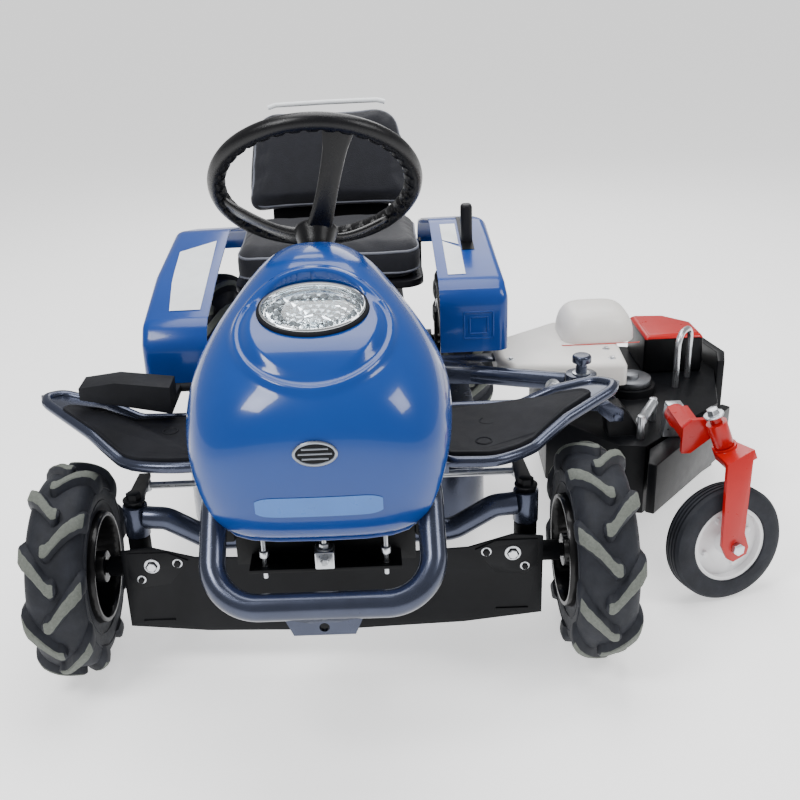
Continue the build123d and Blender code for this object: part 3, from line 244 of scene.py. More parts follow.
M = {
    "frame_black": mat("frame_black", "#0a0b0d", 0.42, 0.1, var=0.2, bump=0.12, bump_scale=500, spec=0.18),
    "gunmetal": mat("gunmetal", "#3a4052", 0.25, 0.7, coat=0.35, coat_rough=0.2, var=0.12, bump=0.05, bump_scale=900),
    "black_satin": mat("black_satin", "#0f1013", 0.38, 0.15, var=0.2, bump=0.1, bump_scale=600, spec=0.2),
    "rim_black": mat("rim_black", "#08080a", 0.34, 0.1, coat=0.2, var=0.2, bump=0.05, spec=0.25),
    "tyre": mat("tyre", "#26282e", 0.62, 0.0, var=0.22, scale=30, bump=0.35, bump_scale=260, rvar=0.12, spec=0.25),
    "lug_top": mat("lug_top", "#696d67", 0.86, 0.0, var=0.14, scale=220, bump=0.6, bump_scale=700, rvar=0.06, spec=0.25),
    "cast_aluminium": mat("cast_aluminium", "#8d8f93", 0.48, 0.85, var=0.1, bump=0.3, bump_scale=380),
    "zinc": mat("zinc", "#c9ccd0", 0.30, 0.95, var=0.1, scale=60, bump=0.1, bump_scale=500),
    "blade_steel": mat("blade_steel", "#8b8e93", 0.34, 0.95, var=0.1, bump=0.15),
    "hood_blue": mat("hood_blue", (0.0010, 0.046, 0.250), 0.24, 0.0, coat=0.5, coat_rough=0.06, var=0.05, scale=6, bump=0.02, bump_scale=900, rvar=0.04, spec=0.3),
    # a darker copy of the hood blue, painted shade for the returned underside lip; it shares the hood_blue slot and no
    # piece uses it
    "hood_lip": mat("hood_lip", (0.001, 0.012, 0.09), 0.32, 0.0, coat=0.4, var=0.06, scale=8, bump=0.02),
    "fender_blue": mat("fender_blue", (0.0015, 0.045, 0.26), 0.30, 0.0, coat=0.35, coat_rough=0.12, var=0.05, scale=8, bump=0.06, bump_scale=500, rvar=0.05, spec=0.3),
    "band_blue": mat("band_blue", (0.03, 0.16, 0.52), 0.30, 0.0, coat=0.5, var=0.05, scale=20),
    "chrome": mat("chrome", "#e4e7ea", 0.08, 1.0, var=0.03, rvar=0.03),
    "mirror": mat("mirror", "#e9edf0", 0.07, 1.0, var=0.03, rvar=0.03),
    "clear_glass": mat("clear_glass", "#f4f8fa", 0.04, 0.0, transmission=1.0, var=0.01, rvar=0.02, ior=1.42),
    "badge_grey": mat("badge_grey", "#8f949c", 0.30, 0.9, var=0.1, bump=0.1),
    "black_plastic": mat("black_plastic", "#131317", 0.40, 0.0, var=0.18, bump=0.28, bump_scale=800, kind="voronoi", spec=0.25),
    "wheel_plastic": mat("wheel_plastic", "#0d0d10", 0.28, 0.0, var=0.18, bump=0.15, bump_scale=900, kind="voronoi", spec=0.35),
    "black_rubber": mat("black_rubber", "#1b1c20", 0.60, 0.0, var=0.2, bump=0.3, bump_scale=500, spec=0.2),
    "pad_rubber": mat("pad_rubber", "#191a1f", 0.66, 0.0, var=0.2, bump=0.4, bump_scale=650, spec=0.2),
    "seat_cover": mat("seat_cover", "#1f2026", 0.50, 0.0, var=0.14, scale=30, bump=0.5, bump_scale=420, kind="voronoi", sheen=0.15, spec=0.2),
    "piping": mat("piping", "#6b6e78", 0.5, 0.0, var=0.1, bump=0.2),
    "signal_red": mat("signal_red", (0.46, 0.003, 0.003), 0.30, 0.0, coat=0.3, coat_rough=0.12, var=0.07, scale=14, bump=0.06, bump_scale=500, spec=0.3),
    "white_rim": mat("white_rim", "#e9eaec", 0.32, 0.0, coat=0.4, var=0.03, scale=20, bump=0.05),
    "white_cover": mat("white_cover", "#e6e3de", 0.42, 0.0, coat=0.25, coat_rough=0.2, var=0.04, scale=9, bump=0.06, bump_scale=400),
    "label_white": mat("label_white", "#eef2f5", 0.45, 0.0, var=0.03, scale=40, bump=0.03),
    "label_grey": mat("label_grey", "#9aa0a6", 0.5, 0.0, var=0.06, scale=40, bump=0.03),
    "grey_plastic": mat("grey_plastic", "#8f949b", 0.5, 0.0, var=0.1, bump=0.15),
    "red_mark": mat("red_mark", "#d04038", 0.45, 0.0, var=0.08, scale=50, bump=0.03),
}
SLOT_OF = {"lug_top": "tyre", "hood_lip": "hood_blue", "band_blue": "hood_blue", "wheel_plastic": "black_plastic",
           "pad_rubber": "black_rubber", "piping": "seat_cover", "label_white": "white_cover",
           "label_grey": "badge_grey", "grey_plastic": "badge_grey", "red_mark": "signal_red"}


def slot_of(m):
    return SLOT_OF.get(m, m)


# ---------------------------------------------------------------- mesh helpers
def finish_obj(ob, mats, body, rep=(), angle=35.0):
    idx = [p.material_index for p in ob.data.polygons]
    ob.data.materials.clear()
    for m in mats:
        ob.data.materials.append(M[m])
    top = len(mats) - 1
    for p, i in zip(ob.data.polygons, idx):
        p.material_index = min(i, top)
    if ob.name not in COL.objects:
        COL.objects.link(ob)
    if angle is not None:
        ob.data.shade_smooth()
        ob.data.set_sharp_from_angle(angle=math.radians(angle))
    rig.ride(ob, body)
    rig.slot(ob, slot_of(mats[0]))
    if rep:
        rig.replaces(ob, *rep)
    return ob


def apply_mods(ob):
    if ob.name not in COL.objects:
        COL.objects.link(ob)
    bpy.context.view_layer.update()
    dg = bpy.context.evaluated_depsgraph_get()
    me = bpy.data.meshes.new_from_object(ob.evaluated_get(dg))
    ob.modifiers.clear()
    ob.data = me
    return ob


def bevel_mod(ob, width, segs=3, angle=30.0):
    m = ob.modifiers.new("b", "BEVEL")
    m.width = width
    m.segments = segs
    m.limit_method = "ANGLE"
    m.angle_limit = math.radians(angle)
    m.use_clamp_overlap = True
    m.harden_normals = False
    return m


class Geo:
    def __init__(s):
        s.v, s.f, s.m = [], [], []

    def add(s, verts, faces, m=0):
        o = len(s.v)
        s.v += [Vector(p) for p in verts]
        s.f += [tuple(i + o for i in f) for f in faces]
        s.m += [m] * len(faces)

    def tube(s, pts, r, n=16, closed=False, m=0, caps=True, flat=None):
        pts = [Vector(p) for p in pts]
        k = len(pts)
        rs = r if isinstance(r, (list, tuple)) else [r] * k
        t0 = (pts[1] - pts[0]).normalized()
        up = Vector((0, 0, 1)) if abs(t0.z) < 0.9 else Vector((1, 0, 0))
        nrm = (up - t0 * up.dot(t0)).normalized()
        verts, faces = [], []
        prev = t0
        for i, p in enumerate(pts):
            if closed:
                t = (pts[(i + 1) % k] - pts[i - 1]).normalized()
            else:
                t = (pts[min(i + 1, k - 1)] - pts[max(i - 1, 0)]).normalized()
            q = prev.rotation_difference(t)
            nrm = (q @ nrm)
            nrm = (nrm - t * nrm.dot(t)).normalized()
            prev = t
            bi = t.cross(nrm)
            for j in range(n):
                a = 2 * math.pi * j / n
                fx, fy = (1, 1) if flat is None else flat
                verts.append(p + (nrm * math.cos(a) * fx + bi * math.sin(a) * fy) * rs[i])
        rng = k if closed else k - 1
        for i in range(rng):
            i2 = (i + 1) % k
            for j in range(n):
                j2 = (j + 1) % n
                faces.append((i * n + j, i * n + j2, i2 * n + j2, i2 * n + j))
        if not closed and caps:
            faces.append(tuple(reversed(range(n))))
            faces.append(tuple((k - 1) * n + j for j in range(n)))
        s.add(verts, faces, m)

    def revolve(s, prof, c, ax, n=64, m=0, closed=False, seg_m=None):
        c, ax = Vector(c), Vector(ax).normalized()
        up = Vector((0, 0, 1)) if abs(ax.z) < 0.9 else Vector((1, 0, 0))
        e1 = (up - ax * up.dot(ax)).normalized()
        e2 = ax.cross(e1)
        k = len(prof)
        verts = []
        for j in range(n):
            a = 2 * math.pi * j / n
            d = e1 * math.cos(a) + e2 * math.sin(a)
            for (r, h) in prof:
                verts.append(c + ax * h + d * r)
        for i in range(k if closed else k - 1):
            i2 = (i + 1) % k
            faces = []
            for j in range(n):
                j2 = (j + 1) % n
                faces.append((j * k + i, j * k + i2, j2 * k + i2, j2 * k + i))
            o = len(s.v)
            s.f += [tuple(q + o for q in f) for f in faces]
            s.m += [m if seg_m is None else seg_m[i]] * len(faces)
        s.v += verts

    def bolt(s, c, ax, r, h, m=0, washer=True, dome=0.0):
        c, ax = Vector(c), Vector(ax).normalized()
        b = 0.0
        if washer:
            t = r * 0.22
            s.revolve([(0.0001, 0), (r * 1.5, 0), (r * 1.55, t * 0.3), (r * 1.55, t * 0.8), (r * 1.45, t), (0.0001, t)], c, ax, 28, m)
            b = t
        up = Vector((0, 0, 1)) if abs(ax.z) < 0.9 else Vector((1, 0, 0))
        e1 = (up - ax * up.dot(ax)).normalized()
        e2 = ax.cross(e1)
        rings = [(1.0, b), (1.0, b + h * 0.82), (0.86, b + h)]
        verts, faces = [], []
        for (k, z) in rings:
            for j in range(6):
                a = math.pi / 3 * j + 0.3
                verts.append(c + ax * z + (e1 * math.cos(a) + e2 * math.sin(a)) * r * k)
        for i in range(2):
            for j in range(6):
                j2 = (j + 1) % 6
                faces.append((i * 6 + j, i * 6 + j2, (i + 1) * 6 + j2, (i + 1) * 6 + j))
        faces.append((12, 13, 14, 15, 16, 17))
        s.add(verts, faces, m)

    def prism(s, poly, z0, z1, m=0, fn=None):
        k = len(poly)
        vs = [Vector((x, y, z0)) for x, y in poly] + [Vector((x, y, z1)) for x, y in poly]
        if fn:
            vs = [Vector(fn(v)) for v in vs]
        fs = [tuple(reversed(range(k))), tuple(range(k, 2 * k))]
        fs += [(i, (i + 1) % k, (i + 1) % k + k, i + k) for i in range(k)]
        s.add(vs, fs, m)

    def obj(s, name, weld=0.00002):
        me = bpy.data.meshes.new(name)
        me.from_pydata([tuple(v + OFF) for v in s.v], [], s.f)
        me.update()
        for p, i in zip(me.polygons, s.m):
            p.material_index = i
        bm = bmesh.new()
        bm.from_mesh(me)
        bmesh.ops.remove_doubles(bm, verts=bm.verts, dist=weld)
        bmesh.ops.recalc_face_normals(bm, faces=bm.faces)
        bm.to_mesh(me)
        bm.free()
        ob = bpy.data.objects.new(name, me)
        COL.objects.link(ob)
        return ob


def fillet_path(pts, radii, n=10):
    pts = [Vector(p) for p in pts]
    out = [pts[0]]
    for i in range(1, len(pts) - 1):
        p, r = pts[i], radii[i - 1]
        a = (pts[i - 1] - p).normalized()
        b = (pts[i + 1] - p).normalized()
        ang = a.angle(b)
        d = r / math.tan(ang / 2)
        c = p + (a + b).normalized() * (r / math.sin(ang / 2))
        s0, s1 = p + a * d - c, p + b * d - c
        tot = s0.angle(s1)
        axis = s0.cross(s1).normalized()
        for j in range(n + 1):
            out.append(c + Matrix.Rotation(tot * j / n, 3, axis) @ s0)
    out.append(pts[-1])
    return out


def refine(node, m=None, bevel=0.0012, segs=2, angle=30.0, dissolve=1.5, name=None):
    src = N[node]
    slot_name = src.data.materials[0].name.split(".")[0] if src.data.materials else "frame_black"
    m = m or SLOT_MAP.get(node, slot_name)
    ob = bpy.data.objects.new(name or (node + "_look"), src.data.copy())
    ob.data.name = ob.name
    bm = bmesh.new()
    bm.from_mesh(ob.data)
    for f in bm.faces:
        f.material_index = 0
    bmesh.ops.remove_doubles(bm, verts=bm.verts, dist=0.00003)
    bmesh.ops.dissolve_limit(bm, angle_limit=math.radians(dissolve), verts=bm.verts, edges=bm.edges)
    bm.to_mesh(ob.data)
    bm.free()
    COL.objects.link(ob)
    if bevel:
        bevel_mod(ob, bevel, segs, angle)
        apply_mods(ob)
    finish_obj(ob, [m], src["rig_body"], rep=(node,), angle=40)
    return ob


SLOT_MAP = {}
if N:
    for n, o in N.items():
        SLOT_MAP[n] = (o.data.materials[0].name.split(".")[0] if o.data.materials else "frame_black")
print("SLOTS", {k: v for k, v in list(SLOT_MAP.items())[:80]})
for n, o in N.items():
    mn = SLOT_MAP[n] if SLOT_MAP[n] in M else "frame_black"
    SLOT_MAP[n] = mn
    o.data.materials.clear()
    o.data.materials.append(M[mn])

# ---------------------------------------------------------------- hood
NET = [
    [(0, .050, .797), (.045, .050, .796), (.10, .050, .760), (.150, .050, .690), (.200, .050, .615), (.212, .050, .550), (.185, .050, .500)],
    [(0, 0, .803), (.05, 0, .800), (.105, 0, .762), (.158, 0, .690), (.208, 0, .615), (.224, 0, .550), (.19, 0, .495)],
    [(0, -.05, .785), (.06, -.05, .782), (.115, -.05, .748), (.172, -.055, .690), (.214, -.06, .612), (.226, -.06, .545), (.19, -.06, .488)],
    [(0, -.13, .735), (.07, -.13, .733), (.135, -.13, .712), (.190, -.13, .660), (.216, -.13, .595), (.222, -.13, .535), (.185, -.13, .480)],
    [(0, -.205, .695), (.075, -.205, .692), (.14, -.20, .672), (.190, -.195, .628), (.212, -.19, .575), (.214, -.19, .520), (.180, -.19, .468)],
    [(0, -.272, .650), (.075, -.27, .647), (.135, -.262, .630), (.178, -.248, .595), (.203, -.235, .550), (.204, -.23, .500), (.172, -.225, .455)],
    [(0, -.302, .600), (.075, -.30, .598), (.13, -.292, .585), (.172, -.275, .555), (.196, -.25, .518), (.194, -.245, .478), (.166, -.240, .445)],
    [(0, -.306, .540), (.075, -.304, .540), (.13, -.297, .532), (.168, -.280, .512), (.188, -.258, .488), (.184, -.252, .458), (.160, -.247, .436)],
    [(0, -.300, .470), (.075, -.299, .470), (.12, -.293, .468), (.155, -.278, .460), (.172, -.262, .450), (.172, -.257, .436), (.154, -.252, .425)],
    [(0, -.288, .412), (.075, -.287, .412), (.115, -.282, .414), (.142, -.272, .420), (.156, -.263, .424), (.158, -.258, .424), (.150, -.254, .420)],
    [(0, -.262, .402), (.07, -.262, .402), (.11, -.260, .404), (.135, -.256, .409), (.148, -.252, .413), (.150, -.25, .415), (.146, -.250, .415)],
]
LC = Vector((0, -.119, .728))
LN = Vector((0, -math.sin(math.radians(20)), math.cos(math.radians(20))))
LX = Vector((1, 0, 0))
LY = LN.cross(LX).normalized()
if LY.y < 0:
    LY = -LY


def make_hood():
    rows = []
    for r in NET:
        left = [Vector((-x, y, z)) for (x, y, z) in reversed(r[1:])]
        rows.append(left + [Vector(p) for p in r])
    w = len(rows[0])
    g = Geo()
    vs = [p for r in rows for p in r]
    fs = []
    for i in range(len(rows) - 1):
        for j in range(w - 1):
            fs.append((i * w + j, i * w + j + 1, (i + 1) * w + j + 1, (i + 1) * w + j))
    g.add(vs, fs)
    ob = g.obj("hood_shell_look")
    sub = ob.modifiers.new("s", "SUBSURF")
    sub.levels = sub.render_levels = 5
    apply_mods(ob)
    me = ob.data
    bm = bmesh.new()
    bm.from_mesh(me)
    A, B = 0.0905, 0.0685
    for v in bm.verts:
        p = v.co - OFF
        d = p - LC
        u, q, h = d.dot(LX), d.dot(LY), d.dot(LN)
        rr = math.sqrt((u / A) ** 2 + (q / B) ** 2)
        qs = q + 0.030                      # the scoop sits forward of the lamp
        sr = math.sqrt((u / 0.121) ** 2 + (qs / (0.128 if qs < 0 else 0.104)) ** 2)
        if sr < 1.5 and h > -0.09:
            t = max(0.0, min(1.0, (sr - 0.80) / 0.20))
            t = t * t * (3 - 2 * t)
            fwd = max(0.0, (-q - B) / 0.09)
            target = 0.004 - 0.010 * min(1.0, fwd) ** 1.5 - 0.022 * max(0.0, min(1.4, fwd)) ** 2
            newh = target * (1 - t) + h * t
            lip = math.exp(-((sr - 1.03) / 0.055) ** 2) * 0.0065
            v.co = v.co + LN * (newh - h + lip * (1.0 if q < 0.02 else 0.6))
    dele = []
    for f in bm.faces:
        inside = True
        for v in f.verts:
            d = v.co - OFF - LC
            rr = math.sqrt((d.dot(LX) / A) ** 2 + (d.dot(LY) / B) ** 2)
            if rr > 1.03 or d.dot(LN) < -0.05:
                inside = False
                break
        if inside:
            dele.append(f)
    bmesh.ops.delete(bm, geom=dele, context="FACES")
    for e in bm.edges:
        if e.is_boundary:
            for v in e.verts:
                d = v.co - OFF - LC
                rr = math.sqrt((d.dot(LX) / A) ** 2 + (d.dot(LY) / B) ** 2)
                if 0.5 < rr < 1.12 and d.dot(LN) > -0.03:
                    u, q = d.dot(LX) / rr, d.dot(LY) / rr
                    v.co = LC + OFF + LX * u + LY * q + LN * 0.004
    bmesh.ops.recalc_face_normals(bm, faces=bm.faces)
    bm.to_mesh(me)
    bm.free()
    return ob


hood = make_hood()
hood_bvh_src = hood.data.copy()
bmh = bmesh.new()
bmh.from_mesh(hood_bvh_src)
HOOD_BVH = BVHTree.FromBMesh(bmh)
so = hood.modifiers.new("so", "SOLIDIFY")
so.thickness = 0.004
so.offset = -1
apply_mods(hood)
finish_obj(hood, ["hood_blue"], "hood", rep=("hood_shell",), angle=50)


def on_hood(x, z, lift=0.0007):
    o = Vector((x, -0.6, z)) + OFF
    loc, nrm, idx, d = HOOD_BVH.ray_cast(o, Vector((0, 1, 0)))
    if loc is None:
        return None
    if nrm.y > 0:
        nrm = -nrm
    return loc - OFF + nrm * lift


def patch_on_hood(name, outline_fn, nu, nv, mname, lift=0.0007):
    g = Geo()
    vs = []
    for i in range(nu + 1):
        for j in range(nv + 1):
            x, z = outline_fn(i / nu, j / nv)
            p = on_hood(x, z, lift)
            vs.append(p if p is not None else Vector((x, -0.3, z)))
    fs = []
    for i in range(nu):
        for j in range(nv):
            a = i * (nv + 1) + j
            fs.append((a, a + 1, a + nv + 2, a + nv + 1))
    g.add(vs, fs)
    ob = g.obj(name)
    so = ob.modifiers.new("so", "SOLIDIFY")
    so.thickness = 0.0005
    so.offset = 1
    apply_mods(ob)
    return finish_obj(ob, [mname], "hood", angle=50)


def band(u, v):
    x = -0.098 + 0.196 * u
    top, bot = 0.493, 0.458
    k = 1 - (abs(u - 0.5) * 2) ** 10 * 0.4
    mid = (top + bot) / 2
    return x, mid + (bot + (top - bot) * v - mid) * k


patch_on_hood("hood_band", band, 48, 8, "band_blue")

# bottom lip: a light rolled bead in the hood blue; the darker blue for the returned edge is painted shade and is not
# drawn here
g = Geo()
lip_pts = [Vector(p) for p in ((-.146, -.250, .4165), (-.135, -.257, .410), (-.11, -.264, .4055), (-.07, -.268, .4035), (0, -.269, .403),
                                (.07, -.268, .4035), (.11, -.264, .4055), (.135, -.257, .410), (.146, -.250, .4165))]
g.tube(lip_pts, 0.0045, 12)
finish_obj(g.obj("hood_lip_bead"), ["hood_blue"], "hood", angle=60)


# ---------------------------------------------------------------- headlight
def ell_ring(g, prof, n=96, m=0, seg_m=None):
    # prof: list of (a, b, h) half axes and height above the lamp plane
    k = len(prof)
    vs = []
    for j in range(n):
        t = 2 * math.pi * j / n
        for (a, b, h) in prof:
            vs.append(LC + LX * (a * math.cos(t)) + LY * (b * math.sin(t)) + LN * h)
    o = len(g.v)
    g.v += vs
    for i in range(k - 1):
        for j in range(n):
            j2 = (j + 1) % n
            g.f.append((o + j * k + i, o + j * k + i + 1, o + j2 * k + i + 1, o + j2 * k + i))
            g.m.append(m if seg_m is None else seg_m[i])


g = Geo()
ell_ring(g, [(.0896, .0676, -.004), (.0900, .0680, .006), (.0890, .0670, .0095), (.0868, .0648, .0105), (.0856, .0636, .008)], m=1)
ell_ring(g, [(.0858, .0638, .006), (.0855, .0635, .0105), (.0842, .0622, .0128), (.0822, .0602, .0132), (.0806, .0586, .0112), (.0797, .0577, .004),
             (.0790, .0570, -.008)], m=0)
bez = g.obj("headlight_bezel_look")
bez.modifiers.new("so", "SOLIDIFY").thickness = 0.0008
apply_mods(bez)
finish_obj(bez, ["chrome", "black_rubber"], "hood", rep=("headlight_bezel",), angle=60)

# faceted reflector: cells step across an elliptical bowl
g = Geo()
NR, NT = 7, 28
grid = []
for i in range(NR + 1):
    k = i / NR
    a, b = .020 + (.0788 - .020) * k, .018 + (.0568 - .018) * k
    h = -0.040 + 0.034 * (k ** 1.7)
    grid.append((a, b, h))
for i in range(NR):
    for j in range(NT):
        t0, t1 = 2 * math.pi * j / NT, 2 * math.pi * (j + 1) / NT
        if (i % 2) == 1:
            t0 += math.pi / NT
            t1 += math.pi / NT
        (a0, b0, h0), (a1, b1, h1) = grid[i], grid[i + 1]

        def P(a, b, h, t):
            return LC + LX * (a * math.cos(t)) + LY * (b * math.sin(t)) + LN * h
        tm = (t0 + t1) / 2
        am, bm_, hm = (a0 + a1) / 2, (b0 + b1) / 2, (h0 + h1) / 2 - 0.0028
        p = [P(a0, b0, h0, t0), P(a0, b0, h0, t1), P(a1, b1, h1, t1), P(a1, b1, h1, t0), P(am, bm_, hm, tm)]
        g.add(p, [(0, 1, 4), (1, 2, 4), (2, 3, 4), (3, 0, 4)], 0)
ell_ring(g, [(.0001, .0001, -.043), (.020, .018, -.041), (.0205, .0185, -.038)], n=28)
g.revolve([(0.0001, -.040), (.009, -.040), (.0085, -.022), (.006, -.014), (.0001, -.011)], LC, LN, 24, m=1)
# bridge bar of the lamp shade in front of the bulb
g.tube([LC + LX * -.026 + LN * -.020, LC + LX * -.013 + LN * -.012, LC + LN * -.009, LC + LX * .013 + LN * -.012, LC + LX * .026 + LN * -.020], 0.0035, 10, m=0)
finish_obj(g.obj("headlight_reflector_look", weld=0.000001), ["mirror", "clear_glass"], "hood", rep=("headlight_reflector",), angle=3)

# lens: a thin dome with a flat rim
g = Geo()
prof = [(.0785, .0565, .0015), (.0770, .0550, .004), (.0690, .0490, .0085), (.0540, .0385, .0118), (.0340, .0240, .0138), (.0160, .0110, .0146), (.0001, .0001, .0148)]
ell_ring(g, prof)
lens = g.obj("headlight_lens_look")
s = lens.modifiers.new("so", "SOLIDIFY")
s.thickness = 0.0022
apply_mods(lens)
finish_obj(lens, ["clear_glass"], "hood", rep=("headlight_lens",), angle=60)

# ---------------------------------------------------------------- badge: plain ribbed oval
g = Geo()
bc = Vector((0, -.3015, .567))


def oval(a, b, y, n=64):
    return [bc + Vector((a * math.cos(2 * math.pi * j / n), y, b * math.sin(2 * math.pi * j / n))) for j in range(n)]


rings = [oval(.034, .021, 0), oval(.034, .021, -.0028), oval(.0325, .0195, -.0040), oval(.0300, .0170, -.0038), oval(.0290, .0160, -.0022),
         oval(.020, .011, -.0024), oval(.001, .0006, -.0026)]
vs = [p for r in rings for p in r]
fs, ms = [], []
for i in range(len(rings) - 1):
    for j in range(64):
        j2 = (j + 1) % 64
        fs.append((i * 64 + j, i * 64 + j2, (i + 1) * 64 + j2, (i + 1) * 64 + j))
        ms.append(0 if i < 4 else 1)
o = len(g.v)
g.v += vs
g.f += fs
g.m += ms
for zz, L in ((-.008, .020), (0.0, .0255), (.008, .020)):
    g.tube([bc + Vector((-L, -.0026, zz)), bc + Vector((L, -.0026, zz))], 0.0017, 10, m=0)
finish_obj(g.obj("hood_badge_look"), ["badge_grey", "black_satin"], "hood", rep=("hood_badge",), angle=40)

# ---------------------------------------------------------------- front bumper
g = Geo()
path = fillet_path([(-.173, -.112, .445), (-.173, -.218, .445), (-.173, -.352, .333), (.173, -.352, .333), (.173, -.218, .445), (.173, -.112, .445)],
                   [.058, .076, .076, .058], 14)
g.tube(path, 0.02135, 32)
finish_obj(g.obj("front_bumper_tube"), ["gunmetal"], "chassis", angle=50)
refine("front_bumper", bevel=0.0)
g = Geo()
zp = [(-.016, -.246), (.016, -.246), (.016, -.214), (-.016, -.214)]
g.prism(zp, .330, .362)
ob = g.obj("latch_block")
bevel_mod(ob, .003, 3)
apply_mods(ob)
finish_obj(ob, ["zinc"], "chassis", angle=40)
g = Geo()
g.bolt((0, -.230, .362), (0, 0, 1), .0085, .007)
g.tube([(0, -.230, .366), (0, -.230, .395)], .0045, 14)
g.bolt((0, -.246, .346), (0, -1, 0), .007, .005)
for sx in (1, -1):
    for (x, z, r) in ((.330, .232, .0095), (.282, .236, .006), (.352, .204, .0055)):
        g.bolt((sx * x, -.0557, z), (0, -1, 0), r, r * .6)
finish_obj(g.obj("front_bolts"), ["zinc"], "chassis", angle=40)


# ---------------------------------------------------------------- lugged tyres
def tyre(name, node, body, c, R, W, rim, nlug, flip=1, thick=1.0):
    c = Vector(c)
    kw = (W / 2) / 0.059

    def mapr(r):
        return rim + (r - .105) * (R - rim) / (.201 - .105)
    prof = [(0, .1845), (.012, .1842), (.024, .1828), (.034, .1795), (.0425, .1740), (.0480, .1665), (.0510, .1560), (.0518, .1440), (.0505, .1320),
            (.0470, .1210), (.0450, .1135), (.0462, .1095), (.0455, .1055)]
    prof = [(w * kw, mapr(r)) for w, r in prof]
    g = Geo()
    full = [(r, w) for w, r in reversed(prof)][:-1] + [(r, -w) for w, r in prof]
    full = [(r, w) for (r, w) in full]
    inner = [(rim, -prof[-1][0] + .006), (rim + .010, -.035 * kw), (rim + .03, -.030 * kw), (rim + .03, .030 * kw), (rim + .010, .035 * kw), (rim, prof[-1][0] - .006)]
    g.revolve(full + inner, c, (1, 0, 0), 120, 0, closed=True)
    # thin moulded ring on the sidewall
    for sgn in (1, -1):
        for rr in (.1500, .1255):
            pts = []
            ww = [w for w, r in prof]
            rs_ = [r for w, r in prof]
            r0 = mapr(rr)
            w0 = None
            for i in range(3, len(prof) - 1):
                if rs_[i] >= r0 >= rs_[i + 1]:
                    t = (rs_[i] - r0) / (rs_[i] - rs_[i + 1])
                    w0 = ww[i] + (ww[i + 1] - ww[i]) * t
            for j in range(96):
                a = 2 * math.pi * j / 96
                pts.append(c + Vector((sgn * (w0 or .05), r0 * math.cos(a), r0 * math.sin(a))))
            g.tube(pts, 0.0016, 6, closed=True)
    # surface parameter: arc length along the profile
    P2 = [Vector((w, r)) for w, r in prof]
    L = [0.0]
    for i in range(1, len(P2)):
        L.append(L[-1] + (P2[i] - P2[i - 1]).length)

    def surf(t):
        sg = 1 if t >= 0 else -1
        t = abs(t)
        for i in range(1, len(P2)):
            if t <= L[i] or i == len(P2) - 1:
                k = (t - L[i - 1]) / (L[i] - L[i - 1])
                p = P2[i - 1].lerp(P2[i], min(1, k))
                d = (P2[min(i + 1, len(P2) - 1)] - P2[max(i - 2, 0)]).normalized()
                nn = Vector((-d.y, d.x))
                if nn.y < 0 and nn.x < 0:
                    nn = -nn
                if nn.x < 0:
                    nn = Vector((abs(nn.x), nn.y)) if i > 4 else nn
                return Vector((sg * p.x, p.y)), Vector((sg * nn.x, nn.y)).normalized()
    H = R - prof[0][1] - 0.0005
    S = kw
    for side in (1, -1):
        for kk in range(nlug):
            th0 = 2 * math.pi * (kk + (0.5 if side < 0 else 0.0)) / nlug
            secs = []
            tmax = .074 * S
            t_start = -.007 * S
            steps = 16
            for q in range(-2, steps + 1):
                if q < 0:
                    fr = (t_start - .0035 * S * (-q))
                    nose = 0.82 if q == -1 else 0.45
                    hh = 0.97 if q == -1 else 0.8
                    t = fr
                else:
                    t = t_start + (tmax - t_start) * q / steps
                    nose, hh = 1.0, 1.0
                p, nn = surf(t)
                frac = max(0.0, t) / (.055 * S)
                ang = th0 + flip * (0.36 * (min(frac, 1.0) ** 0.86) + 0.10 * max(0.0, frac - 1.0)) * (.201 / R) * S
                h = H * hh * (1.0 if frac < 0.75 else max(0.20, 1.0 - (frac - 0.75) * 1.15))
                ht = (.0118 + .0034 * min(1.0, frac)) * nose * S * thick
                hb = ht + (.0085 * nose) * S
                secs.append((p, nn, ang, h, ht, hb))
            n0 = len(g.v)
            cols = [(-1.0, -0.10), (-0.0, 0.86), (0.14, 1.0), (0.86, 1.0), (1.0, 0.86), (2.0, -0.10)]
            for (p, nn, ang, h, ht, hb) in secs:
                for ci, (cx, hz) in enumerate(cols):
                    if ci == 0:
                        off = -hb
                    elif ci == 5:
                        off = hb
                    else:
                        off = -ht + 2 * ht * cx
                    q2 = p + nn * (h * hz)
                    a = ang + off / max(q2.y, 0.05)
                    x = max(-W / 2 + .0002, min(W / 2 - .0002, q2.x))
                    rr = min(q2.y, R - .0002)
                    g.v.append(c + Vector((side * x, -rr * math.cos(a), rr * math.sin(a))))
            ns = len(secs)
            for i in range(ns - 1):
                for j in range(5):
                    a = n0 + i * 6 + j
                    g.f.append((a, a + 1, a + 7, a + 6))
                    g.m.append(1 if (j in (1, 2, 3) and 1 <= i and i < ns - 6) else 0)
            g.f.append(tuple(n0 + j for j in range(6)))
            g.m.append(0)
            e0 = n0 + (ns - 1) * 6
            g.f.append(tuple(e0 + j for j in range(6)))
            g.m.append(0)
    ob = g.obj(name, weld=0.000001)
    return finish_obj(ob, ["tyre", "lug_top"], body, rep=(node,), angle=38)


tyre("front_tyre_left_look", "front_tyre_left", "front_wheel_left", (.485, 0, .201), .201, .118, .105, 9)
tyre("front_tyre_right_look", "front_tyre_right", "front_wheel_right", (-.485, 0, .201), .201, .118, .105, 9)
tyre("rear_tyre_left_look", "rear_tyre_left", "rear_wheel_left", (.350, 1.150, .215), .215, .150, .118, 11)
tyre("rear_tyre_right_look", "rear_tyre_right", "rear_wheel_right", (-.350, 1.150, .215), .215, .150, .118, 11)

